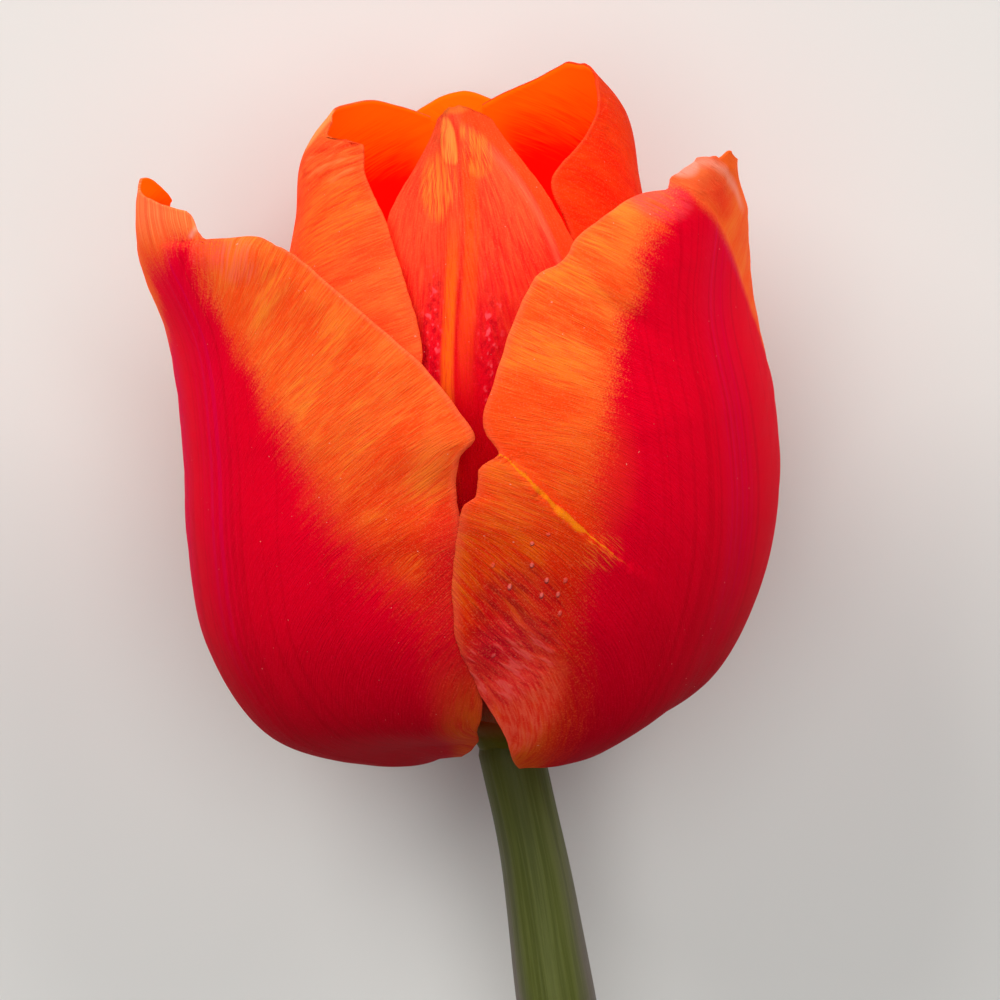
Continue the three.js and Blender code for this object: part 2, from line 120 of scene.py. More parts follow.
class Finish:
    def __init__(self, name, **settings):
        self.material = bpy.data.materials.new(name)
        self.material.use_nodes = True
        self.nodes = self.material.node_tree.nodes
        self.shader = self.nodes["Principled BSDF"]
        self.colour = None  # what is painted so far
        for socket, setting in settings.items():
            self.shader.inputs[socket.replace("_", " ")].default_value = setting

    def feed(self, socket, given):
        if isinstance(given, Wire):
            self.material.node_tree.links.new(given.socket, socket)
        else:
            socket.default_value = given

    def add(self, kind, settings=None, inputs=None, output=0):
        node = self.nodes.new(kind)
        for name, setting in (settings or {}).items():
            if name == "stops":
                stops = node.color_ramp.elements
                while len(stops) < len(setting):
                    stops.new(0.5)
                for stop, (place, colour) in zip(stops, setting):
                    stop.position = place
                    stop.color = colour
            elif name == "blend":
                node.color_ramp.interpolation = setting
            else:
                setattr(node, name, setting)
        for name, given in (inputs or {}).items():
            self.feed(node.inputs[name], given)
        return Wire(self, node.outputs[output])

    def combine(self, x, y, z):
        return self.add("ShaderNodeCombineXYZ", None, {0: x, 1: y, 2: z})

    def split(self, vector):
        parts = self.add("ShaderNodeSeparateXYZ", None, {0: vector})
        return parts.out("X"), parts.out("Y"), parts.out("Z")

    def uv(self, name):
        return self.split(self.add("ShaderNodeUVMap", {"uv_map": name}))[:2]

    def place(self):
        return self.add("ShaderNodeTexCoord").out("Object")

    def noise(self, vector, scale, detail=2, roughness=0.5):
        return self.add("ShaderNodeTexNoise", None, {"Vector": vector, "Scale": scale, "Detail": detail,
                                                     "Roughness": roughness})

    def tint(self, share, first, second):
        return self.add("ShaderNodeMix", {"data_type": "RGBA"}, {0: share, 6: first, 7: second}, 2)

    def paint(self, share, colour):  # lays a colour over the colour so far
        self.colour = self.tint(share, self.colour, colour)

    def graph(self, given, knots, top):  # a curve through knots (place, value), over 0 to top
        stops = [(place, (height / top, height / top, height / top, 1)) for place, height in knots]
        return self.add("ShaderNodeValToRGB", {"stops": stops, "blend": "CARDINAL"}, {0: given}) * top

    def bump(self, height):  # height in mm
        return self.add("ShaderNodeBump", None, {"Distance": mm, "Height": height})

    def finish(self, **wires):
        for name, given in {"Base_Color": self.colour, **wires}.items():
            self.feed(self.shader.inputs[name.replace("_", " ")], given)
        return self.material


def shade(red, green, blue):  # a colour as it looks on screen, 0 to 255
    def linear(level):
        level /= 255
        return level / 12.92 if level <= 0.04045 else ((level + 0.055) / 1.055) ** 2.4
    return (linear(red), linear(green), linear(blue), 1)


# How the flower lies

lie = {
    "footRight": -23.5, "footForward": 52, "footHeight": 25,  # where the stem meets the bloom, mm
    "rise": 7, "lean": 5,  # degrees
}
lean = Matrix.Rotation(math.radians(lie["lean"]), 4, "Z")
bloomTurn = lean @ Matrix.Rotation(math.radians(lie["rise"]), 4, "X")
foot = Vector((lie["footRight"], lie["footForward"], lie["footHeight"]))
onTable = Vector((foot.x, foot.y, 0))


def placeInBloom(point):  # bloom's frame in mm to the object's in metres
    return (bloomTurn @ point + foot) * mm


def startGrid(name, columns, rows):
    bpy.ops.object.select_all(action="DESELECT")
    bpy.ops.mesh.primitive_grid_add(x_subdivisions=columns, y_subdivisions=rows, size=2)
    piece = bpy.context.object
    piece.name = name
    piece.data.name = name
    piece.data.uv_layers[0].name = "margin"
    return piece


def addUvs(piece, name, places):  # places: one (u, v) for each vertex
    layer = piece.data.uv_layers.new(name=name)
    for loop in piece.data.loops:
        layer.data[loop.index].uv = places[loop.vertex_index]


def thicken(piece, thickness, rimShare, rimWeights):
    group = piece.vertex_groups.new(name="body")
    for index, weight in enumerate(rimWeights):
        group.add([index], weight, "REPLACE")
    wall = piece.modifiers.new("wall", "SOLIDIFY")
    wall.thickness = thickness * mm
    wall.offset = 0
    wall.vertex_group = "body"
    wall.thickness_vertex_group = rimShare
    wall.material_offset = 1
    bpy.context.view_layer.objects.active = piece
    bpy.ops.object.modifier_apply(modifier="wall")
    bpy.ops.object.shade_smooth()


def hand(piece, slot, *nodes):  # a finished piece goes to the frame
    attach(piece, "root")
    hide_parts(*nodes)


# Tepals: each is a grid bent over its midrib, given its relief, then a thickness

tepalBuild = {
    "thickness": 0.62, "rimShare": 0.4,  # mm at the middle, and the rim's share of it
    "tableGap": 0.35,  # mm from the table to the lowest middle surface
    "uvWidth": 80, "length": 70,  # mm across the flat map, and along a tepal
    "levelBlend": 0.12, "seat": 0.15, "tip": 0.2,  # shares of the length over which these come in
    "rimFade": 2.5,  # mm over which a margin thins out
}


def tepalRow(shape, t):
    out, up = curve(shape["spine"], t)
    outAfter, upAfter = curve(shape["spine"], min(t + 0.001, 1))
    outBefore, upBefore = curve(shape["spine"], max(t - 0.001, 0))
    along = Vector((outAfter - outBefore, upAfter - upBefore)).normalized()
    normal = Vector((along.y, -along.x))
    share = clamp01((shape["level"] - t) / tepalBuild["levelBlend"])
    section = normal.lerp(Vector((1, 0)), share ** 2 * (3 - 2 * share)).normalized()
    return {
        "t": t, "out": out, "up": up, "normal": normal, "section": section,
        "left": value(shape["left"], t), "right": value(shape["right"], t), "cup": value(shape["cup"], t),
        "lift": clamp01(t / tepalBuild["seat"]) * clamp01((1 - t) / tepalBuild["tip"]),
    }


def tipDrop(shape, t, u):  # rounds the tip: its sides end lower than its apex
    apex, left, right = shape["dome"]
    drop, power = right if u > apex else left
    off = (u - apex) / (1 - apex) if u > apex else (apex - u) / (1 + apex)
    uneven = 0.002 + 0.002 * grain(u * 5, 3, shape["seed"])
    nickAt, nickWidth, nickDepth = shape.get("nick", (0, 1, 0))
    return (drop * off ** power + uneven + nickDepth * fade((u - nickAt) / nickWidth)) * ease(t, 0.8, 1)


def marginRipple(shape, t, u):  # the rim's small scallops, mm
    side = 1 if u > 0 else 2
    ripple = 0.22 * grain(t * 26, side, shape["seed"]) + 0.17 * grain(t * 60, side, shape["seed"] + 1)
    return shape["ripple"] * ripple * ease(abs(u), 0.75, 1) * ease(t, 0.15, 0.35)


def tepalArc(row, u):
    return u * (row["left"] if u < 0 else row["right"])


def tepalPoint(shape, row, u):
    t = row["t"]
    arc = tepalArc(row, u) + math.copysign(marginRipple(shape, t, u), u)
    cup = row["cup"]
    inward = cup * (1 - math.cos(arc / cup))
    across = cup * math.sin(arc / cup)
    lay = shape["lay"][0 if u < 0 else 1] * math.sin(clamp01(abs(u) / 0.75) * math.pi / 2) * row["lift"]
    out = row["out"] - inward * row["section"].x + lay * row["normal"].x
    up = row["up"] - inward * row["section"].y + lay * row["normal"].y
    if "tuck" in shape:
        tuck = shape["tuck"]
        near = fade((u - tuck["side"]) / tuck["width"]) * fade((t - tuck["at"]) / tuck["length"])
        across += tuck["across"] * near
    azimuth = math.radians(shape["azimuth"])
    return Vector((out * math.sin(azimuth) + across * math.cos(azimuth), up,
                   out * math.cos(azimuth) - across * math.sin(azimuth)))


def restOnTable(point):  # the lowest tepal is pressed flat on the table
    rise = math.radians(lie["rise"])
    height = foot.z + point.y * math.sin(rise) + point.z * math.cos(rise)
    point.z += max(tepalBuild["tableGap"] - height, 0) / math.cos(rise)
    return point


def makeTepal(name, shape, slot, materials):
    piece = startGrid(name, shape["columns"], shape["rows"])
    flat = []
    places = []
    weights = []
    for vertex in piece.data.vertices:
        u = vertex.co.x
        level = (vertex.co.y + 1) / 2
        row = tepalRow(shape, level - tipDrop(shape, level, u))
        t = row["t"]
        arc = tepalArc(row, u)
        flat.append((t, u, arc))
        places.append((0.5 + arc / tepalBuild["uvWidth"], t))
        rim = min((1 - abs(u)) * (row["left"] if u < 0 else row["right"]), (1 - level) * tepalBuild["length"])
        weights.append(ease(rim, 0, tepalBuild["rimFade"]))
        vertex.co = tepalPoint(shape, row, u)
    piece.data.update()
    normals = [vertex.normal.copy() for vertex in piece.data.vertices]
    for vertex, normal, (t, u, arc) in zip(piece.data.vertices, normals, flat):
        vertex.co += normal * shape["relief"](t, u, arc)
        vertex.co = placeInBloom(restOnTable(vertex.co))
    addUvs(piece, "petal", places)
    for material in materials:
        piece.data.materials.append(material)
    thicken(piece, tepalBuild["thickness"], tepalBuild["rimShare"], weights)
    hand(piece, slot, name)
    print("tepal:", name, len(piece.data.polygons), "faces")


def midribRelief(t, arc):  # fine ridges along the midrib, mm
    lines = math.cos(arc * 2 * math.pi / 1.5) * fade(arc / 2.6)
    return 0.02 * lines * ease(t, 0.08, 0.3) * (1 - ease(t, 0.8, 0.95))


veins = {"bend": 0.0109, "fan": 4.5, "root": 1.5}


def veinAt(height, side):  # one value along each vein, from mm up the tepal and mm from its midrib
    return height * height * veins["bend"] - veins["fan"] * (side + veins["root"]) ** 0.5


def veinRelief(t, arc, seed):  # low waves along the veins, mm
    vein = veinAt(t * tepalBuild["length"], abs(arc))
    return 0.1 * grain(vein * 0.6, arc * 0.05, seed) * ease(abs(arc), 3, 12)


def plainRelief(seed):
    return lambda t, u, arc: midribRelief(t, arc) + veinRelief(t, arc, seed)


# Petal colours: where a point lies on the tepal, and the streaks that follow its veins

petalLook = {
    "specular": 0.005, "roughness": 0.44, "rougher": 0.14,  # the stipple adds up to the last
    "stipple": 6200, "specks": 3400,  # spots to a metre
    "hairs": 0.1,  # mm that the finest streaks stand out
}


class PetalFinish(Finish):
    def __init__(self, name, seed, straight=90, **settings):
        super().__init__(name, Specular_IOR_Level=petalLook["specular"], **settings)
        self.seed = seed
        self.thin = 0  # how much painted glow, as of light coming through, there is below the tip
        across, self.t = self.uv("petal")
        self.arc = (across - 0.5) * tepalBuild["uvWidth"]  # mm to the right of the midrib
        self.side = abs(self.arc)
        self.u = (self.uv("margin")[0] - 0.5) * 2
        self.toRim = 1 - abs(self.u)
        self.height = self.t * tepalBuild["length"]
        risen = self.height.sum("SMOOTH_MIN", self.height, straight, 7)  # veins run straight up above this
        self.follow(veinAt(risen, self.side), self.arc * 0.08)
        place = self.place()
        self.stipple = self.noise(place, petalLook["stipple"], 0)
        self.specks = self.noise(place, petalLook["specks"], 0).ease(0.87, 0.9)

    def follow(self, vein, along):  # streaks run where vein is the same
        self.streaks = self.noise(self.combine(vein * 3.3, along * 3.6, self.seed), 1, 2, 0.65)
        self.hairs = self.noise(self.combine(vein * 9.5, along * 7, self.seed + 5), 1, 1, 0.6)
        self.clouds = self.noise(self.combine(vein * 0.3, along * 1.6, self.seed + 9), 1, 1)
        self.bumps = self.hairs * petalLook["hairs"]

    def sided(self, left, right):  # one value left of the midrib, another right of it
        isRight = self.arc.ease(-0.4, 0.4)
        return left * (1 - isRight) + right * isRight

    def patch(self, t, high, arc, wide):  # a soft oval, given in t and in mm
        up = (self.t - t) / high
        across = (self.arc - arc) / wide
        return (up * up + across * across).ease(1.4, 0.4)

    def fibres(self, dark, light):  # a base of fine streaks between two colours
        mixed = self.streaks * 0.4 + self.hairs * 0.5 + self.clouds * 0.5 - 0.2
        return self.tint(mixed.ease(0.32, 0.68), dark, light)

    def grained(self, sheen):  # fine stipple of painted sheen, and a few specks of dust
        self.paint(self.stipple.ease(0.5, 0.8) * 0.2, sheen)
        self.paint(self.specks * 0.5, flame["dust"])

    def glow(self, low, high):  # a painted glow, as of light that comes through the thin parts
        return self.tint(self.t.ease(low, high) + self.thin, flame["dark"], self.colour)

    def wrinkled(self, share, wrinkle):  # a darker red, painted shade in the troughs and painted highlights on the crests
        self.paint(share * 0.3, flame["fold"])
        self.paint(share * wrinkle.ease(0.5, 0.34) * 0.5, flame["foldShade"])
        self.paint(share * wrinkle.ease(0.58, 0.72) * 0.55, flame["crest"])

    def close(self, **wires):
        roughness = self.stipple * petalLook["rougher"] + petalLook["roughness"]
        return self.finish(Normal=self.bump(self.bumps), Roughness=roughness, **wires)


flame = {  # colours as they look on screen; glint, sheen, crest and pale are painted highlights and sheen, shadow and foldShade are painted shade
    "crimson": shade(232, 0, 33), "magenta": shade(230, 0, 56), "deep": shade(196, 0, 22),
    "shadow": shade(150, 0, 12), "ember": shade(214, 24, 10), "emberLight": shade(234, 60, 12),
    "redOrange": shade(252, 72, 22), "orange": shade(255, 112, 42), "yellow": shade(255, 142, 34),
    "salmon": shade(255, 104, 70), "sheen": shade(255, 124, 80), "glint": shade(250, 24, 68),
    "bright": shade(255, 100, 4), "pureRed": shade(255, 8, 2), "dark": shade(30, 0, 1),
    "crease": shade(240, 128, 12),
    "heart": shade(140, 58, 10), "foot": shade(226, 94, 18), "pale": shade(255, 176, 160),
    "dust": shade(255, 170, 150), "fold": shade(220, 8, 34), "foldShade": shade(160, 0, 22),
    "crest": shade(255, 104, 116), "violet": shade(220, 0, 84), "amber": shade(220, 96, 8),
}


def outerFinish(name, seed, red, soft, tip, detail=None):
    petal = PetalFinish(name, seed, tip["straight"], Emission_Strength=0.23)
    edge = petal.sided(*(petal.graph(petal.t, knots, 40) for knots in red))
    softness = petal.sided(*(petal.graph(petal.t, knots, 8) for knots in soft))
    beyond = petal.side - edge - (petal.clouds - 0.5) * 4  # mm out from the red
    petal.beyond = beyond
    speckled = (beyond + (petal.stipple - 0.5) * 3) / softness
    inRed = 1 - (speckled + (0.5 - petal.streaks) * 2.2).ease(-1, 1)
    pastTip = petal.height - tip["edge"](petal) + (petal.stipple - 0.5) * tip["soft"]
    inRed = inRed * (1 - pastTip.ease(-tip["soft"], tip["soft"]))
    rib = petal.side.ease(5, 0.5) * petal.t.ease(0.25, 0.5)
    pink = petal.tint(rib * 0.35, flame["crimson"], flame["magenta"])
    lines = petal.noise(petal.combine(petal.arc * 1.3, petal.t * 1.2, seed), 1, 1)
    pink = petal.tint(lines.ease(0.5, 0.68) * petal.side.ease(20, 8) * 0.35, pink, flame["deep"])
    pink = petal.tint(lines.ease(0.46, 0.34) * rib * 0.3, pink, flame["violet"])
    upper = petal.t.ease(0.44, 0.66)
    warm = petal.fibres(petal.tint(upper, flame["ember"], flame["redOrange"]),
                        petal.tint(upper, flame["emberLight"], flame["orange"]))
    sun = (petal.streaks + petal.clouds).ease(1, 1.3) * beyond.strip(7, 5, 3)
    warm = petal.tint(sun * 0.4, warm, flame["yellow"])
    warm = petal.tint(petal.toRim.ease(0.035, 0) * 0.4, warm, flame["salmon"])
    # painted sheen towards the tip
    warm = petal.tint(petal.t.ease(0.86, 0.95) * 0.35, warm, flame["sheen"])
    petal.colour = petal.tint(inRed, warm, pink)
    low = (petal.t + (petal.clouds - 0.5) * 0.1).ease(0.55, 0.1)
    petal.paint(low * (inRed * 0.65 + 0.05), flame["shadow"])
    foot = (petal.t - petal.sided(0, 0.07)).ease(0.3, 0.16) * petal.toRim.ease(0.24, 0.04)
    petal.paint(foot * petal.streaks.ease(0.2, 0.65) * 0.75, flame["foot"])
    if detail:
        detail(petal)
    petal.grained(petal.tint(inRed, flame["sheen"], flame["glint"]))
    return petal.close(Emission_Color=petal.glow(0.42, 0.88))


def innerFinish(name, seed, dark, light, low, lowFrom, lowTo, detail=None, closed=False):
    petal = PetalFinish(name, seed)
    if closed:  # veins close on the tip with the margins
        petal.follow(petal.u * 9, petal.t * 5)
    petal.colour = petal.fibres(dark, light)
    sunk = (petal.t + (petal.streaks - 0.5) * 0.16 + petal.side * 0.006).ease(lowFrom, lowTo)
    petal.paint(sunk, low)
    petal.paint(petal.toRim.ease(0.04, 0) * 0.15, flame["salmon"])
    if detail:
        detail(petal)
    petal.paint((petal.t + (petal.hairs - 0.5) * 0.1).ease(0.26, 0.14), flame["heart"])
    petal.grained(petal.tint(sunk, flame["sheen"], flame["glint"]))
    return petal.close()


def insideFinish(name, seed, farSide):  # light comes through, so the insides have a painted glow near the tip
    petal = PetalFinish(name, seed, Emission_Strength=0.34)
    top = (petal.t + (petal.streaks - 0.5) * 0.08).ease(0.885, 0.985)
    petal.colour = petal.tint(top, flame["pureRed"], flame["bright"])
    far = (petal.u * farSide).ease(-0.4, 0.4)
    rim = (petal.toRim + (petal.streaks - 0.5) * 0.2).ease(0.2, 0.02) * petal.t.ease(0.7, 0.85)
    petal.paint(rim * far * 0.6, flame["bright"])
    petal.paint((1 - far) * petal.toRim.ease(0.5, 0.05) * 0.6, flame["pureRed"])
    petal.paint((petal.t + (petal.hairs - 0.5) * 0.12).ease(0.24, 0.13), flame["heart"])
    return petal.finish(Emission_Color=petal.glow(0.62, 0.86), Roughness=0.5)


redWide = [(0, 4.6), (0.12, 10), (0.2, 14), (0.275, 16.9), (0.35, 19.8), (0.413, 21), (0.47, 19.8),
           (0.53, 19.6), (0.593, 18.5), (0.655, 17), (0.71, 15.3), (0.765, 13.1), (0.828, 11.2),
           (0.885, 8.4), (0.94, 5), (1, 1)]
redNarrow = [(0, 4.6), (0.1, 12), (0.2, 19), (0.3, 24), (0.38, 26), (0.448, 20.4), (0.517, 16),
             (0.575, 12.7), (0.633, 9.9), (0.69, 7.2), (0.753, 5.4), (0.8, 4.3), (0.86, 4.6), (0.9, 3),
             (0.94, 1), (1, 0)]
redTurned = [(0, 4.6), (0.12, 12), (0.3, 22), (0.5, 22), (0.6, 19), (0.68, 13), (0.74, 8.4), (0.79, 5.6),
             (0.84, 4.2), (0.9, 2), (1, 0)]
softWide = [(0, 2), (0.3, 2.8), (0.42, 2.4), (0.5, 1.6), (0.62, 1.5), (0.8, 1.7), (1, 2)]
softNarrow = [(0, 4), (0.3, 6.5), (0.45, 6), (0.52, 4.6), (0.58, 3.5), (0.64, 2.7), (0.7, 2.1), (0.8, 1.9),
              (1, 2)]

insideLeft = insideFinish("petalInsideLeft", 31, -1)
insideRight = insideFinish("petalInsideRight", 32, 1)

outerSide = [(0, 4.6), (0.12, 12), (0.24, 21), (0.36, 26.5), (0.48, 29), (0.6, 28), (0.73, 22)]

outerLeft = {
    "azimuth": -66, "level": 0.5, "lay": (1.1, -2.1), "columns": 115, "rows": 250, "seed": 1, "ripple": 1,
    "dome": (-0.42, (0.064, 2.3), (0.054, 0.6)),
    "spine": [(0, 5, 0.8), (0.05, 8.1, -0.9), (0.12, 13.2, -0.45), (0.24, 22.2, 3.3), (0.36, 26.95, 11.9),
              (0.48, 27.8, 21.6), (0.6, 27.3, 31.4), (0.73, 27.75, 41.4), (0.86, 30.8, 50), (1, 31.6, 57.3)],
    "left": [*outerSide, (0.82, 15), (0.89, 11), (0.95, 9.3), (1, 7.8)],
    "right": [(0, 2.6), (0.04, 4.2), (0.08, 7.2), (0.12, 11.3), (0.16, 15.5), (0.2, 18.8), (0.27, 23.6),
              (0.33, 25.9), (0.38, 26.6), (0.46, 27.2), (0.53, 27.5), (0.565, 27.2), (0.593, 27.8),
              (0.602, 28.8), (0.612, 29.5), (0.625, 29.2), (0.662, 27.2), (0.7, 24.4), (0.75, 19.6),
              (0.785, 17.1), (0.82, 15.2), (0.852, 13.4), (0.87, 11.9), (0.88, 9.8), (0.8835, 7),
              (0.886, 5.7), (0.895, 5.1), (0.915, 4.8), (0.934, 4.5), (0.948, 3.8), (0.965, 3.4), (1, 2.4)],
    "cup": [(0, 5.2), (0.12, 13), (0.24, 21.5), (0.36, 26.5), (0.48, 28.5), (0.6, 29), (0.73, 28.5),
            (0.84, 20), (0.9, 10), (1, 4.5)],
}


def leftRelief(t, u, arc):
    notchLine = fade((arc - 3 - 40 * (t - 0.855)) / 0.5) * ease(t, 0.79, 0.85) * ease(t, 0.9, 0.878)
    blister = fade((arc - 4.8) / 0.8) * fade((t - 0.908) / 0.01)
    corner = fade((u - 1) / 0.22) * fade((t - 0.61) / 0.03)
    underCorner = fade((u - 1) / 0.25) * fade((t - 0.555) / 0.035)
    tipOut = 0.7 * ease(-arc, -2, 3.5) * ease(t, 0.82, 0.92)
    return (midribRelief(t, arc) + veinRelief(t, arc, 1) - 0.2 * notchLine + 0.15 * blister + 0.8 * corner
            - 0.7 * underCorner + tipOut)


def leftTip(petal):  # the tip is orange above this height, mm
    return 60 + (petal.streaks - 0.5) * 6 + petal.arc.ease(-1, 3) * 3


leftTurn = {"edge": leftTip, "soft": 2.4, "straight": 57}  # mm, veins run straight up above the last


def leftDetail(petal):
    petal.paint(petal.patch(0.862, 0.03, 6, 2.4) * petal.stipple.ease(0.3, 0.6) * 0.5, shade(246, 40, 56))
    petal.paint(petal.patch(0.84, 0.04, 9, 2.6) * petal.streaks.ease(0.4, 0.6) * 0.6, shade(255, 92, 76))
    # a painted highlight on the blister under the near rim's corner
    slant = petal.patch(0.908, 0.02, 4.9, 1.5) * (petal.arc - 60 * (petal.t - 0.908)).strip(4.8, 0.2, 0.5)
    petal.paint(slant * 0.7, flame["pale"])
    # a painted violet sheen on the turned side, painted sheen in fine streaks on the tip, painted shade along
    # the notch's fold and where the margin dips into the cleft
    violetSheen = petal.arc.strip(-11, 3, 4) * petal.t.ease(0.84, 0.7) * petal.t.ease(0.3, 0.5)
    petal.paint(violetSheen * 0.6, flame["violet"])
    # painted sheen in fine streaks on the tip
    silkySheen = (petal.hairs * 0.5 + petal.streaks * 0.5).ease(0.45, 0.65) * petal.t.ease(0.87, 0.93)
    petal.paint(silkySheen * 0.4, shade(255, 164, 100))
    # painted shade along the notch's fold
    line = (petal.arc - 40 * (petal.t - 0.855)).strip(3.4, 0.05, 0.2) * petal.t.strip(0.858, 0.016, 0.014)
    petal.paint(line * 0.4, flame["foldShade"])
    # painted shade where the margin dips into the cleft
    cleftShade = petal.toRim.ease(0.17, 0.02) * petal.t.strip(0.44, 0.09, 0.06) * petal.arc.ease(5, 15)
    petal.paint(cleftShade * 0.6, flame["fold"])


outerLeft["relief"] = leftRelief
makeTepal("outer_tepal_left", outerLeft, "outer_tepal",
          [outerFinish("petalOutsideLeft", 1, (redTurned, redNarrow), (softWide, softNarrow), leftTurn,
                       leftDetail), insideLeft])

outerRight = {
    "azimuth": 57, "level": 0.5, "lay": (2.2, -0.4), "columns": 190, "rows": 210, "seed": 2, "ripple": 1.2,
    "dome": (0, (0.014, 1.2), (0.03, 1.2)), "nick": (-0.38, 0.16, 0.008),
    "spine": [(0, 5, 0.8), (0.06, 8.7, 0.8), (0.12, 12.3, 0.75), (0.24, 20.3, 4.6), (0.36, 25.6, 12.7),
              (0.48, 28.1, 21.5), (0.6, 28.3, 31), (0.73, 27.1, 40.8), (0.86, 28.7, 49.6), (1, 30.5, 56)],
    "left": [(0, 2.8), (0.04, 4.4), (0.08, 7.6), (0.12, 11.3), (0.2, 18.2), (0.26, 22.9), (0.3, 26.3),
             (0.34, 29.1), (0.38, 31.4), (0.41, 32.4), (0.453, 32.8), (0.505, 32.7), (0.53, 32.4),
             (0.545, 31.9), (0.552, 31.1), (0.576, 30.7), (0.592, 30.3), (0.602, 29.2), (0.611, 28.4),
             (0.625, 28.6), (0.662, 29.3), (0.7, 27.5), (0.725, 26), (0.765, 24), (0.785, 22.9), (0.797, 22),
             (0.806, 20.3), (0.814, 19.5), (0.837, 18.2), (0.868, 15), (0.891, 12.4), (0.907, 10.2),
             (0.914, 8.8), (0.918, 7.7), (0.925, 7.4), (0.94, 6.9), (0.955, 5.9), (0.975, 4.6), (1, 3.2)],
    "right": [(0, 4.6), (0.12, 11.5), (0.24, 20.5), (0.36, 26), (0.48, 29), (0.6, 28), (0.73, 22),
              (0.84, 13), (0.9, 8.2), (0.95, 4.2), (1, 0.6)],
    "cup": [(0, 5.2), (0.12, 12.5), (0.24, 20), (0.36, 25.2), (0.48, 28), (0.6, 29), (0.73, 28), (0.84, 20),
            (0.92, 9), (1, 5)],
}
rightCrease = [(10, 0.412), (13, 0.428), (16.5, 0.447), (18.3, 0.462), (20.8, 0.486), (22.4, 0.507),
               (24.4, 0.536), (26, 0.564), (27.3, 0.587), (28.4, 0.612), (34, 0.71)]


wrinkleSlant = 0.57  # the flap's wrinkles drop this much to a mm
dotSpacing = 1.6  # mm


tipCrease = {"at": 58.8, "slope": 0.85}  # mm up the midrib, and mm down to each mm right of it


def pastCrease(height, arc):  # mm above the crease across the tip
    return height - tipCrease["at"] + arc * tipCrease["slope"]


def rightRelief(t, u, arc):
    height = t * tepalBuild["length"]
    above = (t - value(rightCrease, max(-arc, 10))) * 50  # mm square to the crease
    creased = ease(-arc, 12, 21)
    flap = 0.5 * math.exp(above / 3) if above < 0 else -0.4 * math.exp(-above / 1.6)
    fold = creased * (flap + 0.15 * fade(above / 0.4))
    upper = height - 51.66 + (arc + 9.7) * 0.4928  # mm above a lesser crease
    lesser = (0.12 * fade(upper / 0.7) - 0.25 * fade((upper + 1.3) / 0.9)) * ease(-arc, 8, 14)
    past = pastCrease(height, arc)
    tipFold = -0.3 * ease(past, 0, 1.2) * math.exp(-max(past, 0) / 4) * ease(t, 0.7, 0.78)
    tipRoll = 0.35 * fade((t - 0.96) / 0.03) * fade((arc + 4.6) / 1.6)
    crumpled = 0.15 * grain((height + wrinkleSlant * arc) * 1.1, arc * 0.35, 21) * fade((t - 0.35) / 0.07)
    crumpled *= fade((arc + 25) / 5)
    droop = 0.5 * fade((u + 1) / 0.2) * fade((t - 0.075) / 0.03)
    return midribRelief(t, arc) + veinRelief(t, arc, 2) + fold + lesser + tipFold + tipRoll + crumpled + droop


def rightTip(petal):  # up here the red ends at a crease
    return tipCrease["at"] - petal.arc * tipCrease["slope"] + petal.arc.ease(-4, -9) * 1.5


rightTurn = {"edge": rightTip, "soft": 1, "straight": 90}


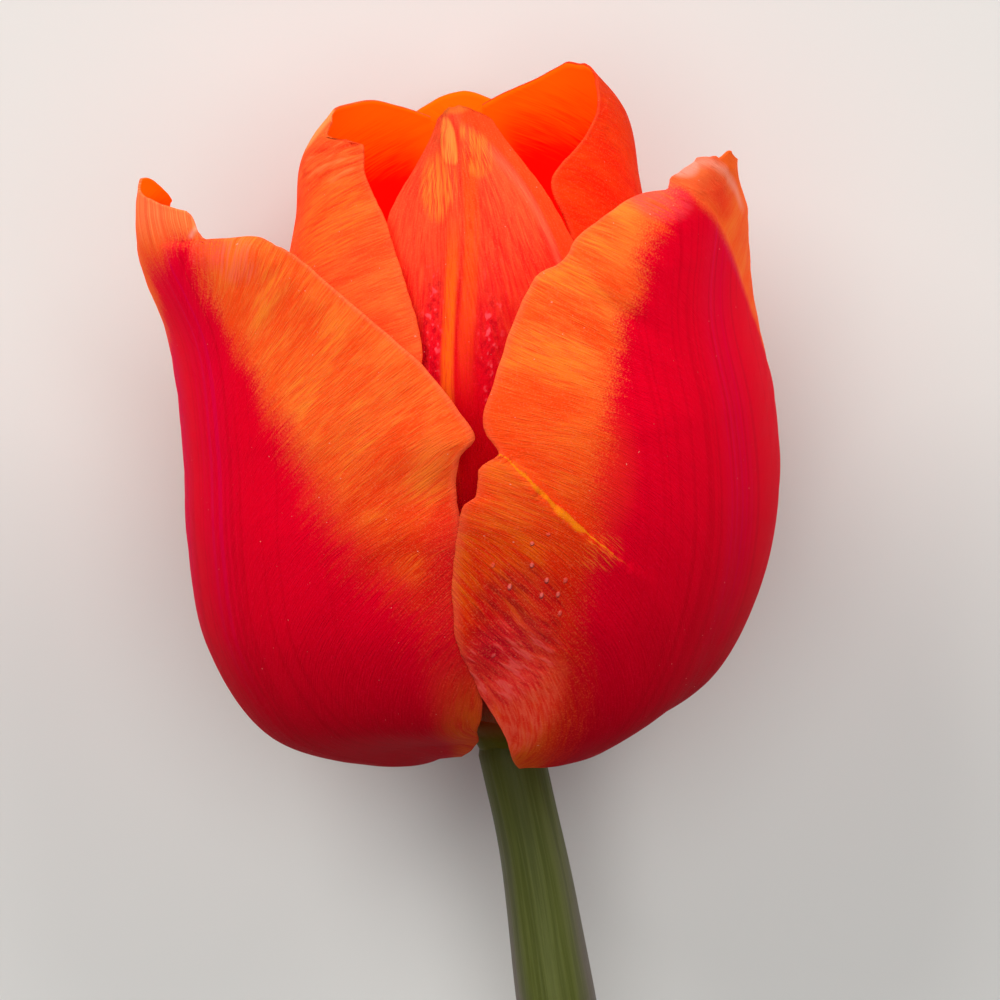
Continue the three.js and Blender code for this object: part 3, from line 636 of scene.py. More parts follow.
def rightDetail(petal):
    petal.paint(petal.patch(0.58, 0.14, -25, 9) * 0.4, shade(244, 60, 10))
    # red at the notch and a brownish margin above the flap
    nearNotch = petal.patch(0.9, 0.034, -8.6, 3.2) * petal.streaks.ease(0.3, 0.6)
    petal.paint(nearNotch * 0.6, shade(252, 70, 80))
    olive = petal.patch(0.455, 0.05, -29, 4.5) * petal.streaks.ease(0.35, 0.6)
    petal.paint(olive * 0.35, flame["amber"])
    # the flap: a salmon-red tone painted lighter and a painted glow at its foot, then creased, then a dark
    # patch, both with painted shade in the wrinkle troughs, then raised dots with a painted highlight
    slant = petal.height + petal.arc * wrinkleSlant  # the same along each wrinkle
    wrinkle = petal.noise(petal.combine(slant * 1.7, petal.arc * 0.3, 21), 1, 2, 0.6)
    flap = (petal.beyond + (petal.streaks - 0.5) * 2).ease(-0.8, 1)
    low = petal.patch(0.25, 0.11, -24, 5.5) * flap
    # painted light: a lighter tone and a painted glow make up for the light that falls off at the flap's foot
    petal.thin = low * 0.45
    petal.paint(low * 0.55, shade(250, 52, 36))
    fine = (petal.hairs * 0.6 + wrinkle * 0.4).ease(0.4, 0.62)
    petal.paint(low * fine * 0.36, shade(255, 112, 84))
    # a dark red patch, with painted shade in its wrinkle troughs
    darkPatch = petal.patch(0.402, 0.05, -26.4, 4.2) * flap
    petal.paint(darkPatch * 0.55, shade(200, 8, 26))
    petal.paint(darkPatch * wrinkle.ease(0.55, 0.4) * 0.6, shade(150, 0, 18))
    # the creased part: painted shade in the wrinkle troughs and painted highlights on the crests
    creased = petal.patch(0.347, 0.055, -26.4, 4.8) * flap
    petal.paint(creased * 0.45, shade(232, 34, 48))
    petal.paint(creased * wrinkle.ease(0.48, 0.38) * 0.5, shade(186, 0, 26))
    petal.paint(creased * wrinkle.ease(0.54, 0.64) * 0.45, shade(255, 98, 92))
    across = petal.combine(petal.arc / dotSpacing, petal.height / dotSpacing, 0)
    cell = petal.add("ShaderNodeTexVoronoi", {"voronoi_dimensions": "2D"}, {"Vector": across, "Scale": 1},
                     "Distance")
    chance = petal.split(cell.out("Color"))[0]
    dots = cell.ease(0.16, 0.06) * chance.ease(0.5, 0.6) * petal.patch(0.425, 0.075, -25.8, 3.6)
    # raised dots, each with a painted highlight
    petal.paint(dots * 0.75, shade(255, 120, 112))
    # the yellow crease, frayed at its end
    line = petal.graph(petal.side / 40, [(place / 40, at) for place, at in rightCrease[1:-1]], 1)
    width = petal.side.ease(20.4, 22.4) * petal.side.ease(29.5, 22.8) * 0.23 + 0.05
    off = abs((petal.t - line) * 50 + (petal.hairs - 0.5) * 0.12)
    stroke = (off / width).ease(1.5, 0.4) * petal.arc.ease(-16, -20)
    petal.paint(stroke * 0.9, flame["crease"])
    frayed = petal.patch(0.467, 0.022, -19.4, 2.4) * petal.hairs.ease(0.5, 0.7)
    petal.paint(frayed * 0.4, flame["yellow"])
    # the tip: a painted violet highlight along the crease, then orange, with a painted highlight along its
    # ridge
    past = pastCrease(petal.height, petal.arc)
    onTip = petal.t.ease(0.7, 0.8)
    # painted violet highlight along the edge of the crease
    petal.paint(past.strip(-0.5, 0.3, 0.6) * petal.arc.ease(-2, 4) * onTip * 0.5, flame["violet"])
    ridge = petal.graph((petal.arc + 10) / 20, [(0.2, 0.97), (0.315, 0.985), (0.39, 0.978), (0.495, 0.95),
                                                (0.69, 0.897), (0.88, 0.86)], 1)
    onRidge = petal.t - ridge
    petal.paint(onRidge.ease(0, 0.012) * petal.arc.ease(-2.6, -1) * 0.8, shade(255, 96, 24))
    inner = onRidge.strip(-0.06, 0.03, 0.025) * petal.arc.strip(-1, 3, 3)
    petal.paint(inner * petal.t.ease(0.84, 0.87) * 0.85, shade(250, 54, 26))
    # painted highlight along the ridge, in streaks
    ridgeHighlight = onRidge.strip(-0.008, 0.008, 0.012) * petal.arc.ease(8.5, 3)
    ridgeHighlight = ridgeHighlight + petal.patch(0.964, 0.021, -5.8, 1.5)
    petal.paint(ridgeHighlight * petal.streaks.ease(0.1, 0.5) * 0.8, shade(255, 150, 126))
    petal.bumps += dots * 0.15 + petal.patch(0.347, 0.055, -25.6, 5.5) * wrinkle * 0.2


outerRight["relief"] = rightRelief
makeTepal("outer_tepal_right", outerRight, "outer_tepal",
          [outerFinish("petalOutsideRight", 2, (redWide, redWide), (softWide, softWide), rightTurn,
                       rightDetail), insideRight])

outerBack = {
    "azimuth": 178, "level": 0.5, "lay": (1, -1), "columns": 100, "rows": 130, "seed": 3, "ripple": 1,
    "dome": (-0.05, (0.06, 1.7), (0.05, 2)),
    "spine": [(0, 5, 0.8), (0.12, 13.5, -0.8), (0.24, 21.5, 3.9), (0.36, 26.7, 11.8), (0.48, 28.6, 21.2),
              (0.6, 28.4, 31), (0.73, 27.2, 41), (0.86, 25.5, 51), (1, 25, 61)],
    "left": [*outerSide, (0.85, 14), (0.94, 9), (1, 6)],
    "right": [*outerSide, (0.85, 14), (0.94, 9), (1, 6)],
    "cup": [(0, 5.2), (0.12, 13.5), (0.24, 21.5), (0.36, 26.5), (0.48, 28.5), (0.6, 28), (0.73, 25),
            (0.84, 18), (0.92, 12), (1, 9)],
    "relief": plainRelief(3),
}
makeTepal("outer_tepal_back", outerBack, "outer_tepal",
          [outerFinish("petalOutsideBack", 3, (redWide, redWide), (softWide, softWide), leftTurn),
           insideLeft])

innerSpine = [(0, 4.8, 3.4), (0.12, 11.6, 3.5), (0.24, 18.5, 7.8), (0.36, 22.8, 15), (0.48, 24, 23.5)]
innerSide = [(0, 3.6), (0.12, 10.5), (0.24, 18), (0.36, 22), (0.48, 24)]
innerCup = [(0, 5), (0.12, 12), (0.24, 19), (0.36, 23), (0.48, 24)]

innerFront = {
    "azimuth": -2, "level": 1.2, "lay": (-1.8, 1), "columns": 130, "rows": 190, "seed": 4, "ripple": 0.5,
    "dome": (0.3, (0.012, 2), (0.02, 2)),
    "spine": [*innerSpine, (0.6, 22.5, 33), (0.73, 19.3, 42.5), (0.86, 14.8, 52), (0.96, 9.6, 58.7),
              (1, 6.4, 61.6)],
    "left": [(0, 3.6), (0.12, 10.5), (0.24, 17), (0.36, 19), (0.48, 19), (0.6, 15.5), (0.73, 10.8),
             (0.875, 6.4), (0.94, 3.1), (0.97, 1.7), (1, 0.7)],
    "right": [(0, 4.3), (0.12, 10.5), (0.24, 18), (0.36, 22), (0.48, 23), (0.6, 20), (0.72, 15.8),
              (0.807, 11.9), (0.863, 9.7), (0.95, 5.3), (0.985, 3.7), (1, 3)],
    "cup": [*innerCup, (0.6, 22), (0.73, 18), (0.86, 12.5), (1, 8)],
}


midGroove = {"from": 0.62, "to": 0.88, "start": -1, "shift": 1.75}  # mm from the tepal's own middle


def frontRelief(t, u, arc):
    across = arc - midGroove["start"] - midGroove["shift"] * ease(t, midGroove["from"], midGroove["to"])
    ribs = fade((across + 0.85) / 0.65) + fade((across - 0.85) / 0.7)
    ribs *= (0.2 + 0.3 * ease(t, 0.88, 0.95)) * ease(t, 0.2, 0.4) * (1 - ease(t, 0.96, 0.976))
    return ribs + veinRelief(t, arc, 4)


def frontDetail(petal):
    shifted = petal.t.ease(midGroove["from"], midGroove["to"])
    across = petal.arc - shifted * midGroove["shift"] - midGroove["start"]
    lines = petal.noise(petal.combine(across * 3.6, petal.t * 9, 4), 1, 2)
    # two bands along the midrib, with a groove between them
    whole = (petal.t + (lines - 0.5) * 0.1).ease(0.5, 0.66) * petal.t.ease(0.95, 0.9)
    first = across.strip(-0.82, 0.5, 0.25) * whole * petal.t.ease(0.88, 0.76)
    second = across.strip(0.85, 0.6, 0.3) * whole * petal.t.ease(0.6, 0.8)
    petal.paint(first * lines.ease(0.1, 0.5) * 0.85, shade(240, 100, 18))
    petal.paint(second * lines.ease(0.2, 0.55) * 0.7, shade(246, 84, 22))
    petal.paint((first + second) * petal.hairs.ease(0.5, 0.34) * 0.4, shade(206, 40, 10))
    groove = (across + (lines - 0.5) * 0.2).strip(0, 0.06, 0.2) * petal.t.ease(0.5, 0.6)
    petal.paint(groove * petal.t.ease(0.975, 0.955) * 0.6, shade(200, 20, 10))
    yellowed = petal.patch(0.9, 0.045, -1.4, 1.7) + petal.patch(0.93, 0.03, 2.6, 1.4)
    petal.paint(yellowed * (lines + petal.hairs).ease(0.8, 1.15) * 0.65, shade(255, 144, 48))
    # the tip: it rounds over on the right, with a painted highlight along the rounded shoulder, and has a
    # pale leaf-shaped fold on the left
    rise = across - 1.15
    shoulder = petal.t - 0.968 + rise * (rise * 0.0012 + 0.0105)  # 0 where the right half rounds over
    turned = shoulder.ease(-0.003, 0.006) * across.ease(0.1, 0.5)
    petal.paint(turned * 0.7, shade(252, 76, 22))
    # painted highlight along the rounded shoulder
    crest = shoulder.strip(-0.012, 0.008, 0.012) * across.ease(0.1, 0.5)
    petal.paint(crest * across.ease(4, 0.5) * lines.ease(0.3, 0.6) * 0.8, shade(255, 148, 54))
    petal.paint(crest * across.ease(1.5, 4) * 0.4, shade(255, 128, 92))
    up = (petal.t - 0.954) / 0.034
    aside = (across + 0.88 + (petal.t - 0.954) * 9) / 0.6
    tooth = (up * up * up * up + aside * aside).ease(1.2, 0.5)
    petal.paint(tooth * (petal.hairs * 0.5 + lines * 0.5).ease(0.34, 0.56) * 0.75, shade(255, 152, 62))
    cap = (petal.t - abs(across) * 0.002).ease(0.985, 0.992) * across.ease(1.6, 0.4)
    petal.paint(cap * 0.7, shade(255, 120, 46))
    # crimson wrinkles on both sides of the midrib, with painted shade in their troughs and painted highlights
    # on their crests
    wrinkle = petal.noise(petal.combine(petal.arc * 1.5, petal.height * 1.2, 8), 1, 1, 0.6)
    left = across.strip(-2.5, 0.9, 0.6) * petal.t.strip(0.7, 0.085, 0.05)
    right = across.strip(3, 0.9, 0.9) * petal.t.strip(0.69, 0.07, 0.06)
    both = left + right
    petal.paint(both * 0.4, flame["fold"])
    petal.wrinkled(both, wrinkle)
    petal.bumps += both * wrinkle * 0.3 + (tooth + crest * across.ease(5, 2)) * 0.06


innerFront["relief"] = frontRelief
makeTepal("inner_tepal_front", innerFront, "inner_tepal",
          [innerFinish("petalFront", 4, shade(250, 50, 32), shade(255, 90, 48), shade(208, 4, 20), 0.94, 0.64,
                       frontDetail, closed=True), insideLeft])

innerLeft = {
    "azimuth": -100, "level": 1.2, "lay": (-0.8, 1), "columns": 100, "rows": 230, "seed": 5, "ripple": 0.8,
    "dome": (-0.45, (0.03, 2.4), (0.012, 2.4)),
    "spine": [*innerSpine, (0.6, 21.9, 33), (0.73, 17.9, 42.5), (0.86, 15.3, 51.5), (0.94, 14.3, 57.4),
              (1, 11, 62)],
    "left": [*innerSide, (0.6, 24), (0.73, 22), (0.85, 19.5), (0.93, 17.6), (0.97, 15.2), (1, 12)],
    "right": [(0, 3.6), (0.12, 10.5), (0.24, 18.5), (0.36, 25.5), (0.48, 30.4), (0.57, 32.9), (0.66, 31.6),
              (0.77, 25.5), (0.885, 18.3), (0.93, 15.4), (0.953, 14), (0.962, 12.8), (0.9645, 10.6),
              (0.966, 8.6), (0.968, 6.9), (0.98, 5.6), (1, 4.4)],
    "cup": [*innerCup, (0.6, 22.5), (0.73, 19), (0.86, 15), (1, 11)],
}


def lobeRelief(t, u, arc):  # the front lobe turns over at its top
    lobe = fade((t - 0.955) / 0.02) * fade((arc - 10) / 5)
    return midribRelief(t, arc) + veinRelief(t, arc, 5) - 0.3 * lobe


def lobeDetail(petal):
    wrinkle = petal.noise(petal.combine(petal.arc * 0.35, petal.height * 1.3 - petal.arc * 0.5, 9), 1, 1)
    lobe = petal.patch(0.935, 0.032, 10.5, 5.5)
    # painted shade in the lobe's wrinkle troughs and painted highlights on their crests
    petal.paint(lobe * wrinkle.ease(0.5, 0.36) * 0.55, shade(228, 36, 14))
    petal.paint(lobe * wrinkle.ease(0.56, 0.7) * 0.35, shade(255, 150, 84))
    # a painted highlight near the top of the midrib
    petal.paint(petal.patch(0.975, 0.03, 2.5, 2.6) * 0.7, shade(255, 176, 96))
    petal.paint(petal.patch(0.86, 0.06, 13, 5) * petal.streaks.ease(0.3, 0.7) * 0.4, flame["yellow"])
    petal.bumps += lobe * wrinkle * 0.2


innerLeft["relief"] = lobeRelief
makeTepal("inner_tepal_left", innerLeft, "inner_tepal",
          [innerFinish("petalInnerLeft", 5, shade(254, 72, 30), shade(255, 112, 46), shade(250, 56, 34),
                       0.86, 0.6, lobeDetail), insideLeft])

innerRight = {
    "azimuth": 110, "level": 1.2, "lay": (-2.5, 0.8), "columns": 110, "rows": 150, "seed": 6, "ripple": 0.8,
    "dome": (0.35, (0.015, 2), (0.045, 1.4)),
    "spine": [*innerSpine, (0.6, 23, 33), (0.73, 19.7, 42.8), (0.86, 17.9, 52.5), (0.94, 17, 58.8),
              (1, 13.6, 64)],
    "left": [*innerSide, (0.6, 23.4), (0.73, 21), (0.82, 20.3), (0.865, 20.9), (0.885, 20.7), (0.9, 19.3),
             (0.915, 17.2), (0.95, 12.5), (0.98, 7.4), (1, 4)],
    "right": [*innerSide, (0.6, 24), (0.73, 22.5), (0.85, 19.5), (0.93, 17.8), (0.965, 15.6), (1, 9.5)],
    "cup": [*innerCup, (0.6, 23), (0.73, 20), (0.86, 17), (1, 13)],
    "tuck": {"side": -1, "at": 0.84, "width": 0.5, "length": 0.14, "across": 3},
    "relief": plainRelief(6),
}
makeTepal("inner_tepal_right", innerRight, "inner_tepal",
          [innerFinish("petalInnerRight", 6, shade(250, 42, 12), shade(255, 72, 18), shade(246, 28, 18),
                       0.86, 0.56), insideRight])


# Round pieces: a cylinder cut into rings, each vertex then placed by its own pointAt, which takes
# the angle around in radians, and the shares along the piece and out from its middle

def makeTube(name, sides, rings, pointAt, material):
    bpy.ops.object.select_all(action="DESELECT")
    bpy.ops.mesh.primitive_cylinder_add(vertices=sides, radius=1, depth=1, end_fill_type="TRIFAN")
    piece = bpy.context.object
    piece.name = name
    piece.data.name = name
    bpy.ops.object.mode_set(mode="EDIT")
    bpy.ops.mesh.select_mode(type="EDGE")
    bpy.ops.mesh.select_all(action="DESELECT")
    bpy.ops.object.mode_set(mode="OBJECT")
    for edge in piece.data.edges:  # the edges that run from end to end
        low, high = [piece.data.vertices[index].co.z for index in edge.vertices]
        edge.select = abs(high - low) > 0.5
    bpy.ops.object.mode_set(mode="EDIT")
    bpy.ops.mesh.subdivide(number_cuts=rings)
    bpy.ops.object.mode_set(mode="OBJECT")
    places = []
    for vertex in piece.data.vertices:
        around = math.atan2(vertex.co.y, vertex.co.x)
        reach = min(math.hypot(vertex.co.x, vertex.co.y), 1)
        along = round(vertex.co.z + 0.5, 5)
        vertex.co = pointAt(around, along, reach)
        places.extend((math.cos(around) * reach, math.sin(around) * reach, along))
    marks = piece.data.attributes.new("tube", "FLOAT_VECTOR", "POINT")
    marks.data.foreach_set("vector", places)
    piece.data.update()
    piece.data.materials.append(material)
    bpy.ops.object.mode_set(mode="EDIT")
    bpy.ops.mesh.select_all(action="SELECT")
    bpy.ops.mesh.normals_make_consistent(inside=False)
    bpy.ops.object.mode_set(mode="OBJECT")
    bpy.ops.object.shade_smooth_by_angle(angle=math.radians(50))
    return piece


class TubeFinish(Finish):
    def __init__(self, name, **settings):
        super().__init__(name, **settings)
        marks = self.add("ShaderNodeAttribute", {"attribute_name": "tube"}).out("Vector")
        self.x, self.y, self.along = self.split(marks)
        self.reach = (self.x * self.x + self.y * self.y) ** 0.5

    def spots(self, scale, detail=2):
        return self.noise(self.place(), scale, detail)


# A path through points, measured along its length

class Path:
    def __init__(self, points, steps=24):
        ends = [points[0] * 2 - points[1], *points, points[-1] * 2 - points[-2]]
        self.points = []
        for i in range(1, len(ends) - 2):
            for k in range(steps):
                self.points.append(self.between(ends[i - 1:i + 3], k / steps))
        self.points.append(points[-1])
        self.lengths = [0]
        for before, after in zip(self.points, self.points[1:]):
            self.lengths.append(self.lengths[-1] + (after - before).length)
        self.length = self.lengths[-1]

    def between(self, corners, k):  # Catmull-Rom with knots spaced by the root of the distance
        knots = [0]
        for before, after in zip(corners, corners[1:]):
            knots.append(knots[-1] + math.sqrt((after - before).length))
        at = knots[1] + (knots[2] - knots[1]) * k
        layer = list(corners)
        for width in (1, 2, 3):
            for j in range(4 - width):
                first, last = (1, 2) if width == 3 else (j, j + width)
                share = (at - knots[first]) / (knots[last] - knots[first])
                layer[j] = layer[j].lerp(layer[j + 1], share)
        return layer[0]

    def at(self, length):
        length = min(max(length, 0), self.length)
        i = 0
        while i < len(self.lengths) - 2 and self.lengths[i + 1] < length:
            i += 1
        share = (length - self.lengths[i]) / (self.lengths[i + 1] - self.lengths[i])
        return self.points[i].lerp(self.points[i + 1], share)

    def direction(self, length):
        return (self.at(length + 0.8) - self.at(length - 0.8)).normalized()


# Stem

stem = {
    "path": [(0, 0, 25), (0.95, -4, 24.5), (2.65, -12, 23.5), (4.65, -25, 21.9), (8.6, -50, 18.8),
             (10.8, -80, 15.1), (10.8, -110, 11.4), (8.6, -140, 7.7), (4.8, -168, 4.17)],
    "radius": [(0, 2.75), (0.9, 3.08), (2.5, 3.12), (9, 3.13), (17, 3.45), (27, 3.85), (86, 4.2),
               (173, 4.2)],
    "sides": 72, "rings": 219, "bunching": 1.1,  # rings stand closer under the bloom
    "lowest": 0.02,  # mm above the table
}
stemPath = Path([Vector(point) for point in stem["path"]])


@functools.cache
def stemFrame(length):  # centre, level cross direction and upward one
    centre = stemPath.at(length)
    direction = stemPath.direction(length)
    side = Vector((-direction.y, direction.x, 0)).normalized()
    return centre, side, direction.cross(side)


def stemPoint(around, along, reach):
    length = along ** stem["bunching"] * stemPath.length
    centre, side, up = stemFrame(length)
    radius = value(stem["radius"], length) * reach
    radius *= 1 + 0.012 * math.cos(3 * around + length * 0.01) + 0.008 * grain(around * 1.5, length * 0.03, 8)
    point = centre + side * (radius * math.cos(around)) + up * (radius * math.sin(around))
    point.z = max(point.z, stem["lowest"])
    return (point + onTable) * mm


def stemFinish():
    skin = TubeFinish("stemSkin", Specular_IOR_Level=0.25, Subsurface_Weight=0.12,
                      Subsurface_Radius=(0.6, 0.9, 0.3), Subsurface_Scale=mm)
    length = skin.along * stemPath.length
    fibres = skin.noise(skin.combine(skin.x * 9, skin.y * 9, length * 0.05), 1, 3, 0.6)
    clouds = skin.noise(skin.combine(skin.x, skin.y, length * 0.04), 1, 2)
    skin.colour = skin.tint(fibres.ease(0.35, 0.65), shade(76, 82, 24), shade(94, 100, 42))
    flush = (abs(skin.x) + (clouds - 0.5) * 0.7).ease(0.45, 0.95)
    skin.paint(flush * 0.75 * length.ease(4, 30), shade(112, 98, 98))
    # painted shade: a darker olive at the top, under the bloom
    skin.paint((length + (fibres - 0.5) * 8).ease(14, 1) * 0.8, shade(76, 76, 10))
    skin.paint(length.ease(60, 170) * 0.5, shade(104, 122, 70))
    bloomDust = skin.spots(60, 3).ease(0.5, 0.75)
    skin.paint(bloomDust * 0.2, shade(170, 176, 160))
    cut = skin.reach.ease(0.985, 0.96)
    pith = skin.spots(2400)
    pithColour = skin.tint(pith.ease(0.45, 0.6), shade(196, 206, 150), shade(150, 168, 98))
    skin.paint(cut, skin.tint(skin.reach.ease(0.8, 0.95), pithColour, shade(120, 146, 70)))
    height = fibres * 0.1 + skin.spots(1800) * 0.02
    return skin.finish(Normal=skin.bump(height), Roughness=0.5 + clouds * 0.12)


stemPiece = makeTube("stem", stem["sides"], stem["rings"], stemPoint, stemFinish())
hand(stemPiece, "stem", "stem")
print("stem:", round(stemPath.length, 1), "mm long")


# Leaf: it sheathes the stem, then arches out to the table

leaf = {
    "thickness": 0.8, "rimShare": 0.45, "length": 60, "uvWidth": 40,  # as on the tepals
    "columns": 72, "rows": 190,
    "from": 121, "to": 108, "radius": 4.9, "turn": (0.84, -0.54),  # where it clasps the stem, mm
    "path": [(20.5, -93, 8.2), (29.5, -78.5, 4.8), (40, -64.5, 1.6), (54, -53.5, -0.4), (68, -46, 0.6),
             (81, -42, 4.5)],
    "width": [(0, 6), (0.1, 7), (0.22, 8.8), (0.32, 12.6), (0.44, 15.2), (0.6, 15.4), (0.78, 11.6),
              (0.92, 5.4), (1, 0.8)],
}
leaf["cup"] = [(0, leaf["radius"]), (0.12, leaf["radius"]), (0.26, 9), (0.42, 15), (0.62, 19), (1, 8)]


def sheathPoint(length):
    centre, side, up = stemFrame(length)
    return centre + side * (leaf["turn"][0] * leaf["radius"]) + up * (leaf["turn"][1] * leaf["radius"])


leafStart = [sheathPoint(leaf["from"]), sheathPoint((leaf["from"] + leaf["to"]) / 2), sheathPoint(leaf["to"])]
leafPath = Path(leafStart + [Vector(point) for point in leaf["path"]])
sheathSide, sheathUp = stemFrame(leaf["from"])[1:]
sheathOpen = sheathSide * -leaf["turn"][0] - sheathUp * leaf["turn"][1]


def leafPoint(t, u):
    centre = leafPath.at(t * leafPath.length)
    direction = leafPath.direction(t * leafPath.length)
    turned = ease(t, 0.08, 0.42)
    opening = sheathOpen.lerp(Vector((0.05, 0, 1)), turned)
    opening = (opening - direction * opening.dot(direction)).normalized()
    across = direction.cross(opening)
    cup = value(leaf["cup"], t)
    arc = u * value(leaf["width"], t)
    wave = 0.9 * turned * u ** 2 * math.sin(13 * t + (1.2 if u > 0 else 0))
    wave += 0.3 * turned * abs(u) ** 3 * grain(t * 14, 1 if u > 0 else 2, 11)
    keel = -0.25 * fade(arc / 0.9) * ease(t, 0.1, 0.3) * (1 - ease(t, 0.85, 1))
    lift = cup * (1 - math.cos(arc / cup)) + wave + keel
    return arc, centre + across * (cup * math.sin(arc / cup)) + opening * lift


def leafFinish():
    skin = Finish("leafSkin", Specular_IOR_Level=0.3, Subsurface_Weight=0.15,
                  Subsurface_Radius=(0.5, 0.9, 0.2), Subsurface_Scale=mm)
    across, t = skin.uv("leaf")
    arc = (across - 0.5) * leaf["uvWidth"]
    u = (skin.uv("margin")[0] - 0.5) * 2
    lines = skin.noise(skin.combine(u * 13, t * 2.2, 0), 1, 3, 0.6)
    fine = skin.noise(skin.combine(u * 46, t * 5, 3), 1, 2)
    clouds = skin.noise(skin.combine(arc * 0.12, t * 6, 6), 1, 3)
    mixed = (lines * 0.6 + fine * 0.4).ease(0.38, 0.62)
    skin.colour = skin.tint(mixed, shade(72, 106, 74), shade(98, 132, 94))
    skin.paint(clouds.ease(0.45, 0.75) * 0.5, shade(120, 148, 118))
    skin.paint(abs(arc).ease(1.1, 0.2) * 0.5, shade(132, 156, 112))
    skin.paint(abs(u).ease(0.93, 0.99) * 0.7, shade(150, 160, 110))
    skin.paint(t.ease(0.95, 1) * 0.6, shade(150, 140, 80))
    skin.paint(t.ease(0.22, 0.02) * 0.7, shade(150, 160, 104))
    height = lines * 0.22 + fine * 0.08
    return skin.finish(Normal=skin.bump(height), Roughness=0.42 + clouds * 0.2)


leafPiece = startGrid("leaf", leaf["columns"], leaf["rows"])
leafPlaces = []
leafWeights = []
for vertex in leafPiece.data.vertices:
    u = vertex.co.x
    t = (vertex.co.y + 1) / 2
    arc, point = leafPoint(t, u)
    rim = min((1 - abs(u)) * value(leaf["width"], t), (1 - t) * leaf["length"])
    weight = ease(rim, 0, tepalBuild["rimFade"])
    half = leaf["thickness"] / 2 * (leaf["rimShare"] + (1 - leaf["rimShare"]) * weight)
    point.z = max(point.z, half)
    leafWeights.append(weight)
    leafPlaces.append((0.5 + arc / leaf["uvWidth"], t))
    vertex.co = (point + onTable) * mm
addUvs(leafPiece, "leaf", leafPlaces)
leafMaterial = leafFinish()
leafPiece.data.materials.append(leafMaterial)
leafPiece.data.materials.append(leafMaterial)
thicken(leafPiece, leaf["thickness"], leaf["rimShare"], leafWeights)
hand(leafPiece, "leaf", "leaf")
print("leaf:", round(leafPath.length, 1), "mm long")


# Receptacle, stamens and pistil, inside the bloom

heart = {
    "gap": -0.8, "top": 3.5,  # the receptacle's underside and top, mm
    "receptacle": [(0, 2.8), (0.19, 3.17), (0.32, 3.3), (0.65, 3.9), (0.92, 3.8), (1, 3.4)],
    "stamens": 6, "ring": 3.35, "spread": 20, "filament": 9, "anther": 9, "antherRadius": 1.15,
    "ovary": [(0, 1.85), (0.14, 2.5), (0.33, 2.9), (0.57, 2.8), (0.76, 2.3), (0.82, 2.9), (0.9, 3.5),
              (0.96, 3), (1, 1.6)],
    "ovaryHeight": 20.7,
    "receptacleMesh": (48, 15), "filamentMesh": (20, 24), "antherMesh": (40, 44),  # sides and rings
    "pistilMesh": (60, 79),
}


def receptaclePoint(around, along, reach):
    radius = value(heart["receptacle"], along) * reach
    radius *= 1 + 0.02 * math.cos(6 * around)
    up = heart["gap"] + (heart["top"] - heart["gap"]) * along
    return placeInBloom(Vector((radius * math.sin(around), up, radius * math.cos(around))))


def receptacleFinish():
    skin = TubeFinish("receptacleSkin", Specular_IOR_Level=0.08, Roughness=0.5)
    mottle = skin.spots(900, 3)
    greenish = skin.tint(mottle, shade(80, 76, 8), shade(96, 88, 14))
    reddish = skin.tint(skin.along.ease(0.45, 0.95), shade(124, 66, 10), shade(166, 38, 6))
    skin.colour = skin.tint(skin.along.ease(0.15, 0.55), greenish, reddish)
    return skin.finish(Normal=skin.bump(mottle * 0.1))


receptacle = makeTube("receptacle", *heart["receptacleMesh"], receptaclePoint, receptacleFinish())
hand(receptacle, "stamens", "receptacle_with_stamens")


def filamentFinish():
    thread = TubeFinish("filamentSkin", Specular_IOR_Level=0.3, Roughness=0.45)
    thread.colour = thread.tint(thread.along.ease(0.1, 0.55), shade(196, 190, 90), shade(58, 34, 62))
    return thread.finish()


def antherFinish():
    pollen = TubeFinish("antherSkin", Specular_IOR_Level=0.2, Roughness=0.85)
    dust = pollen.spots(5200)
    pollen.colour = pollen.tint(dust.ease(0.4, 0.65), shade(30, 22, 40), shade(84, 70, 96))
    return pollen.finish(Normal=pollen.bump(dust * 0.12))


def filamentPoint(around, along, reach):
    radius = (0.66 - 0.24 * along ** 2) * reach
    up = (heart["filament"] + 2) * along - 1.5  # from inside the receptacle into the anther
    return Vector((radius * math.cos(around), up, radius * math.sin(around)))


def antherPoint(around, along, reach):  # four pollen sacs, with a groove down each side
    turn = math.pi * (0.04 + 0.92 * along)
    lobes = 0.86 + 0.16 * abs(math.cos(2 * around)) ** 0.7 - 0.18 * fade(math.sin(around) * 3.4)
    radius = math.sin(turn) ** 0.55 * lobes * reach
    curl = 0.25 * math.sin(along * math.pi)
    return Vector((heart["antherRadius"] * radius * math.cos(around) + curl,
                   heart["filament"] - 0.5 + heart["anther"] * along,
                   heart["antherRadius"] * 0.8 * radius * math.sin(around)))


firstStamen = makeTube("stamen_1", *heart["filamentMesh"], filamentPoint, filamentFinish())
anther = makeTube("anther", *heart["antherMesh"], antherPoint, antherFinish())
bpy.ops.object.select_all(action="DESELECT")
anther.select_set(True)
firstStamen.select_set(True)
bpy.context.view_layer.objects.active = firstStamen
bpy.ops.object.join()
stamens = [firstStamen]
for number in range(2, heart["stamens"] + 1):
    copied = firstStamen.copy()
    copied.data = firstStamen.data.copy()
    copied.name = "stamen_" + str(number)
    bpy.context.scene.collection.objects.link(copied)
    stamens.append(copied)
for number, stamen in enumerate(stamens):
    turn = Matrix.Rotation((number + 0.5) * 2 * math.pi / heart["stamens"], 4, "Y")
    outward = Matrix.Rotation(-math.radians(heart["spread"] + 3 * grain(number, 1, 12)), 4, "Z")
    seat = Matrix.Translation((heart["ring"], heart["top"], 0))
    stamen.data.transform(turn @ seat @ outward)
    stamen.data.transform(Matrix.Scale(mm, 4) @ Matrix.Translation(foot) @ bloomTurn)
    hand(stamen, "stamens", "receptacle_with_stamens")
print("stamens:", len(stamens))


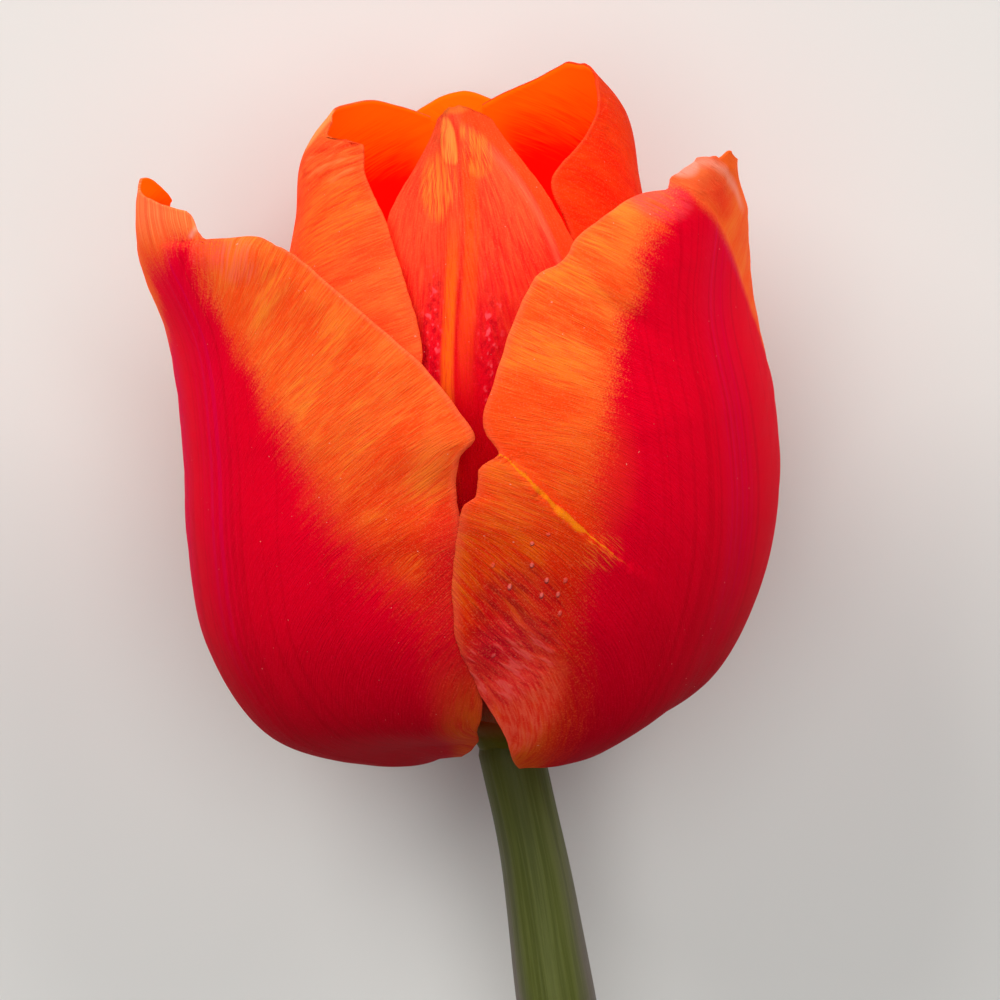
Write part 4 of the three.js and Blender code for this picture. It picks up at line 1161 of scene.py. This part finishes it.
def pistilPoint(around, along, reach):  # three-sided ovary under a three-lobed, frilled stigma
    radius = value(heart["ovary"], along) * reach
    stigma = ease(along, 0.8, 0.86)
    lobes = math.cos(3 * around)
    radius *= 1 + (0.07 + 0.23 * stigma) * lobes * ease(along, 0, 0.15)
    radius *= 1 + 0.05 * stigma * math.sin(along * 60 + 12 * around)
    dip = 1.2 * stigma * (1 - reach)
    up = heart["top"] + heart["ovaryHeight"] * along - dip
    return placeInBloom(Vector((radius * math.sin(around), up, radius * math.cos(around))))


def pistilFinish():
    skin = TubeFinish("pistilSkin", Specular_IOR_Level=0.35, Subsurface_Weight=0.2,
                      Subsurface_Radius=(0.8, 0.9, 0.3), Subsurface_Scale=mm)
    grains = skin.spots(2400, 3)
    ovaryColour = skin.tint(grains, shade(176, 190, 104), shade(206, 212, 140))
    skin.colour = skin.tint(skin.along.ease(0.78, 0.86), ovaryColour, shade(240, 226, 150))
    return skin.finish(Roughness=0.42 + grains * 0.2, Normal=skin.bump(grains * 0.12))


pistil = makeTube("pistil", *heart["pistilMesh"], pistilPoint, pistilFinish())
hand(pistil, "pistil", "pistil")
print("pistil and receptacle are in")


# Floor, light and camera

studio = {
    "floor": shade(228, 227, 223), "floorShade": shade(222, 221, 217), "floorSize": 6,  # m
    "sky": shade(236, 240, 246), "skyStrength": 0.12,
    "lights": [  # place and aim in m, size in m, watts, colour
        {"at": (-0.62, 0.75, 0.6), "size": 0.7, "power": 7.6, "colour": (1, 0.985, 0.96)},
        {"at": (0.55, 0.75, 0.6), "size": 0.7, "power": 5, "colour": (1, 0.985, 0.96)},
        {"at": (-0.02, 0.1, 1.15), "size": 0.9, "power": 5.5, "colour": (0.98, 0.99, 1)},
    ],
    "aim": (-0.024, 0.08, 0.03),
}

bpy.ops.object.select_all(action="DESELECT")
bpy.ops.mesh.primitive_plane_add(size=studio["floorSize"], location=(0, 0, 0))
floor = bpy.context.object
floor.name = "floor"
floorFinish = Finish("paleFloor", Roughness=0.75, Specular_IOR_Level=0.2)
clouds = floorFinish.noise(floorFinish.place(), 3, 3)
floorFinish.colour = floorFinish.tint(clouds, studio["floor"], studio["floorShade"])
floor.data.materials.append(floorFinish.finish())

for number, lamp in enumerate(studio["lights"]):
    data = bpy.data.lights.new("softLight" + str(number), "AREA")
    data.shape = "DISK"
    data.size = lamp["size"]
    data.energy = lamp["power"]
    data.color = lamp["colour"]
    light = bpy.data.objects.new(data.name, data)
    light.location = lamp["at"]
    light.rotation_euler = (Vector(studio["aim"]) - light.location).to_track_quat("-Z", "Y").to_euler()
    light.visible_camera = False
    bpy.context.scene.collection.objects.link(light)

sky = bpy.data.worlds.new("paleSky")
sky.use_nodes = True
sky.node_tree.nodes["Background"].inputs["Color"].default_value = studio["sky"]
sky.node_tree.nodes["Background"].inputs["Strength"].default_value = studio["skyStrength"]
bpy.context.scene.world = sky
bpy.context.scene.view_settings.view_transform = "Standard"

lens = {
    "focal": 262.5, "sensor": 36,  # mm
    "at": (-24.17, 74.9, 727.8),  # mm, looking straight down, +Y up the picture
}
cameraData = bpy.data.cameras.new("camera")
cameraData.lens = lens["focal"]
cameraData.sensor_width = lens["sensor"]
camera = bpy.data.objects.new("camera", cameraData)
camera.location = Vector(lens["at"]) * mm
bpy.context.scene.collection.objects.link(camera)
bpy.context.scene.camera = camera
print("camera and light are set")
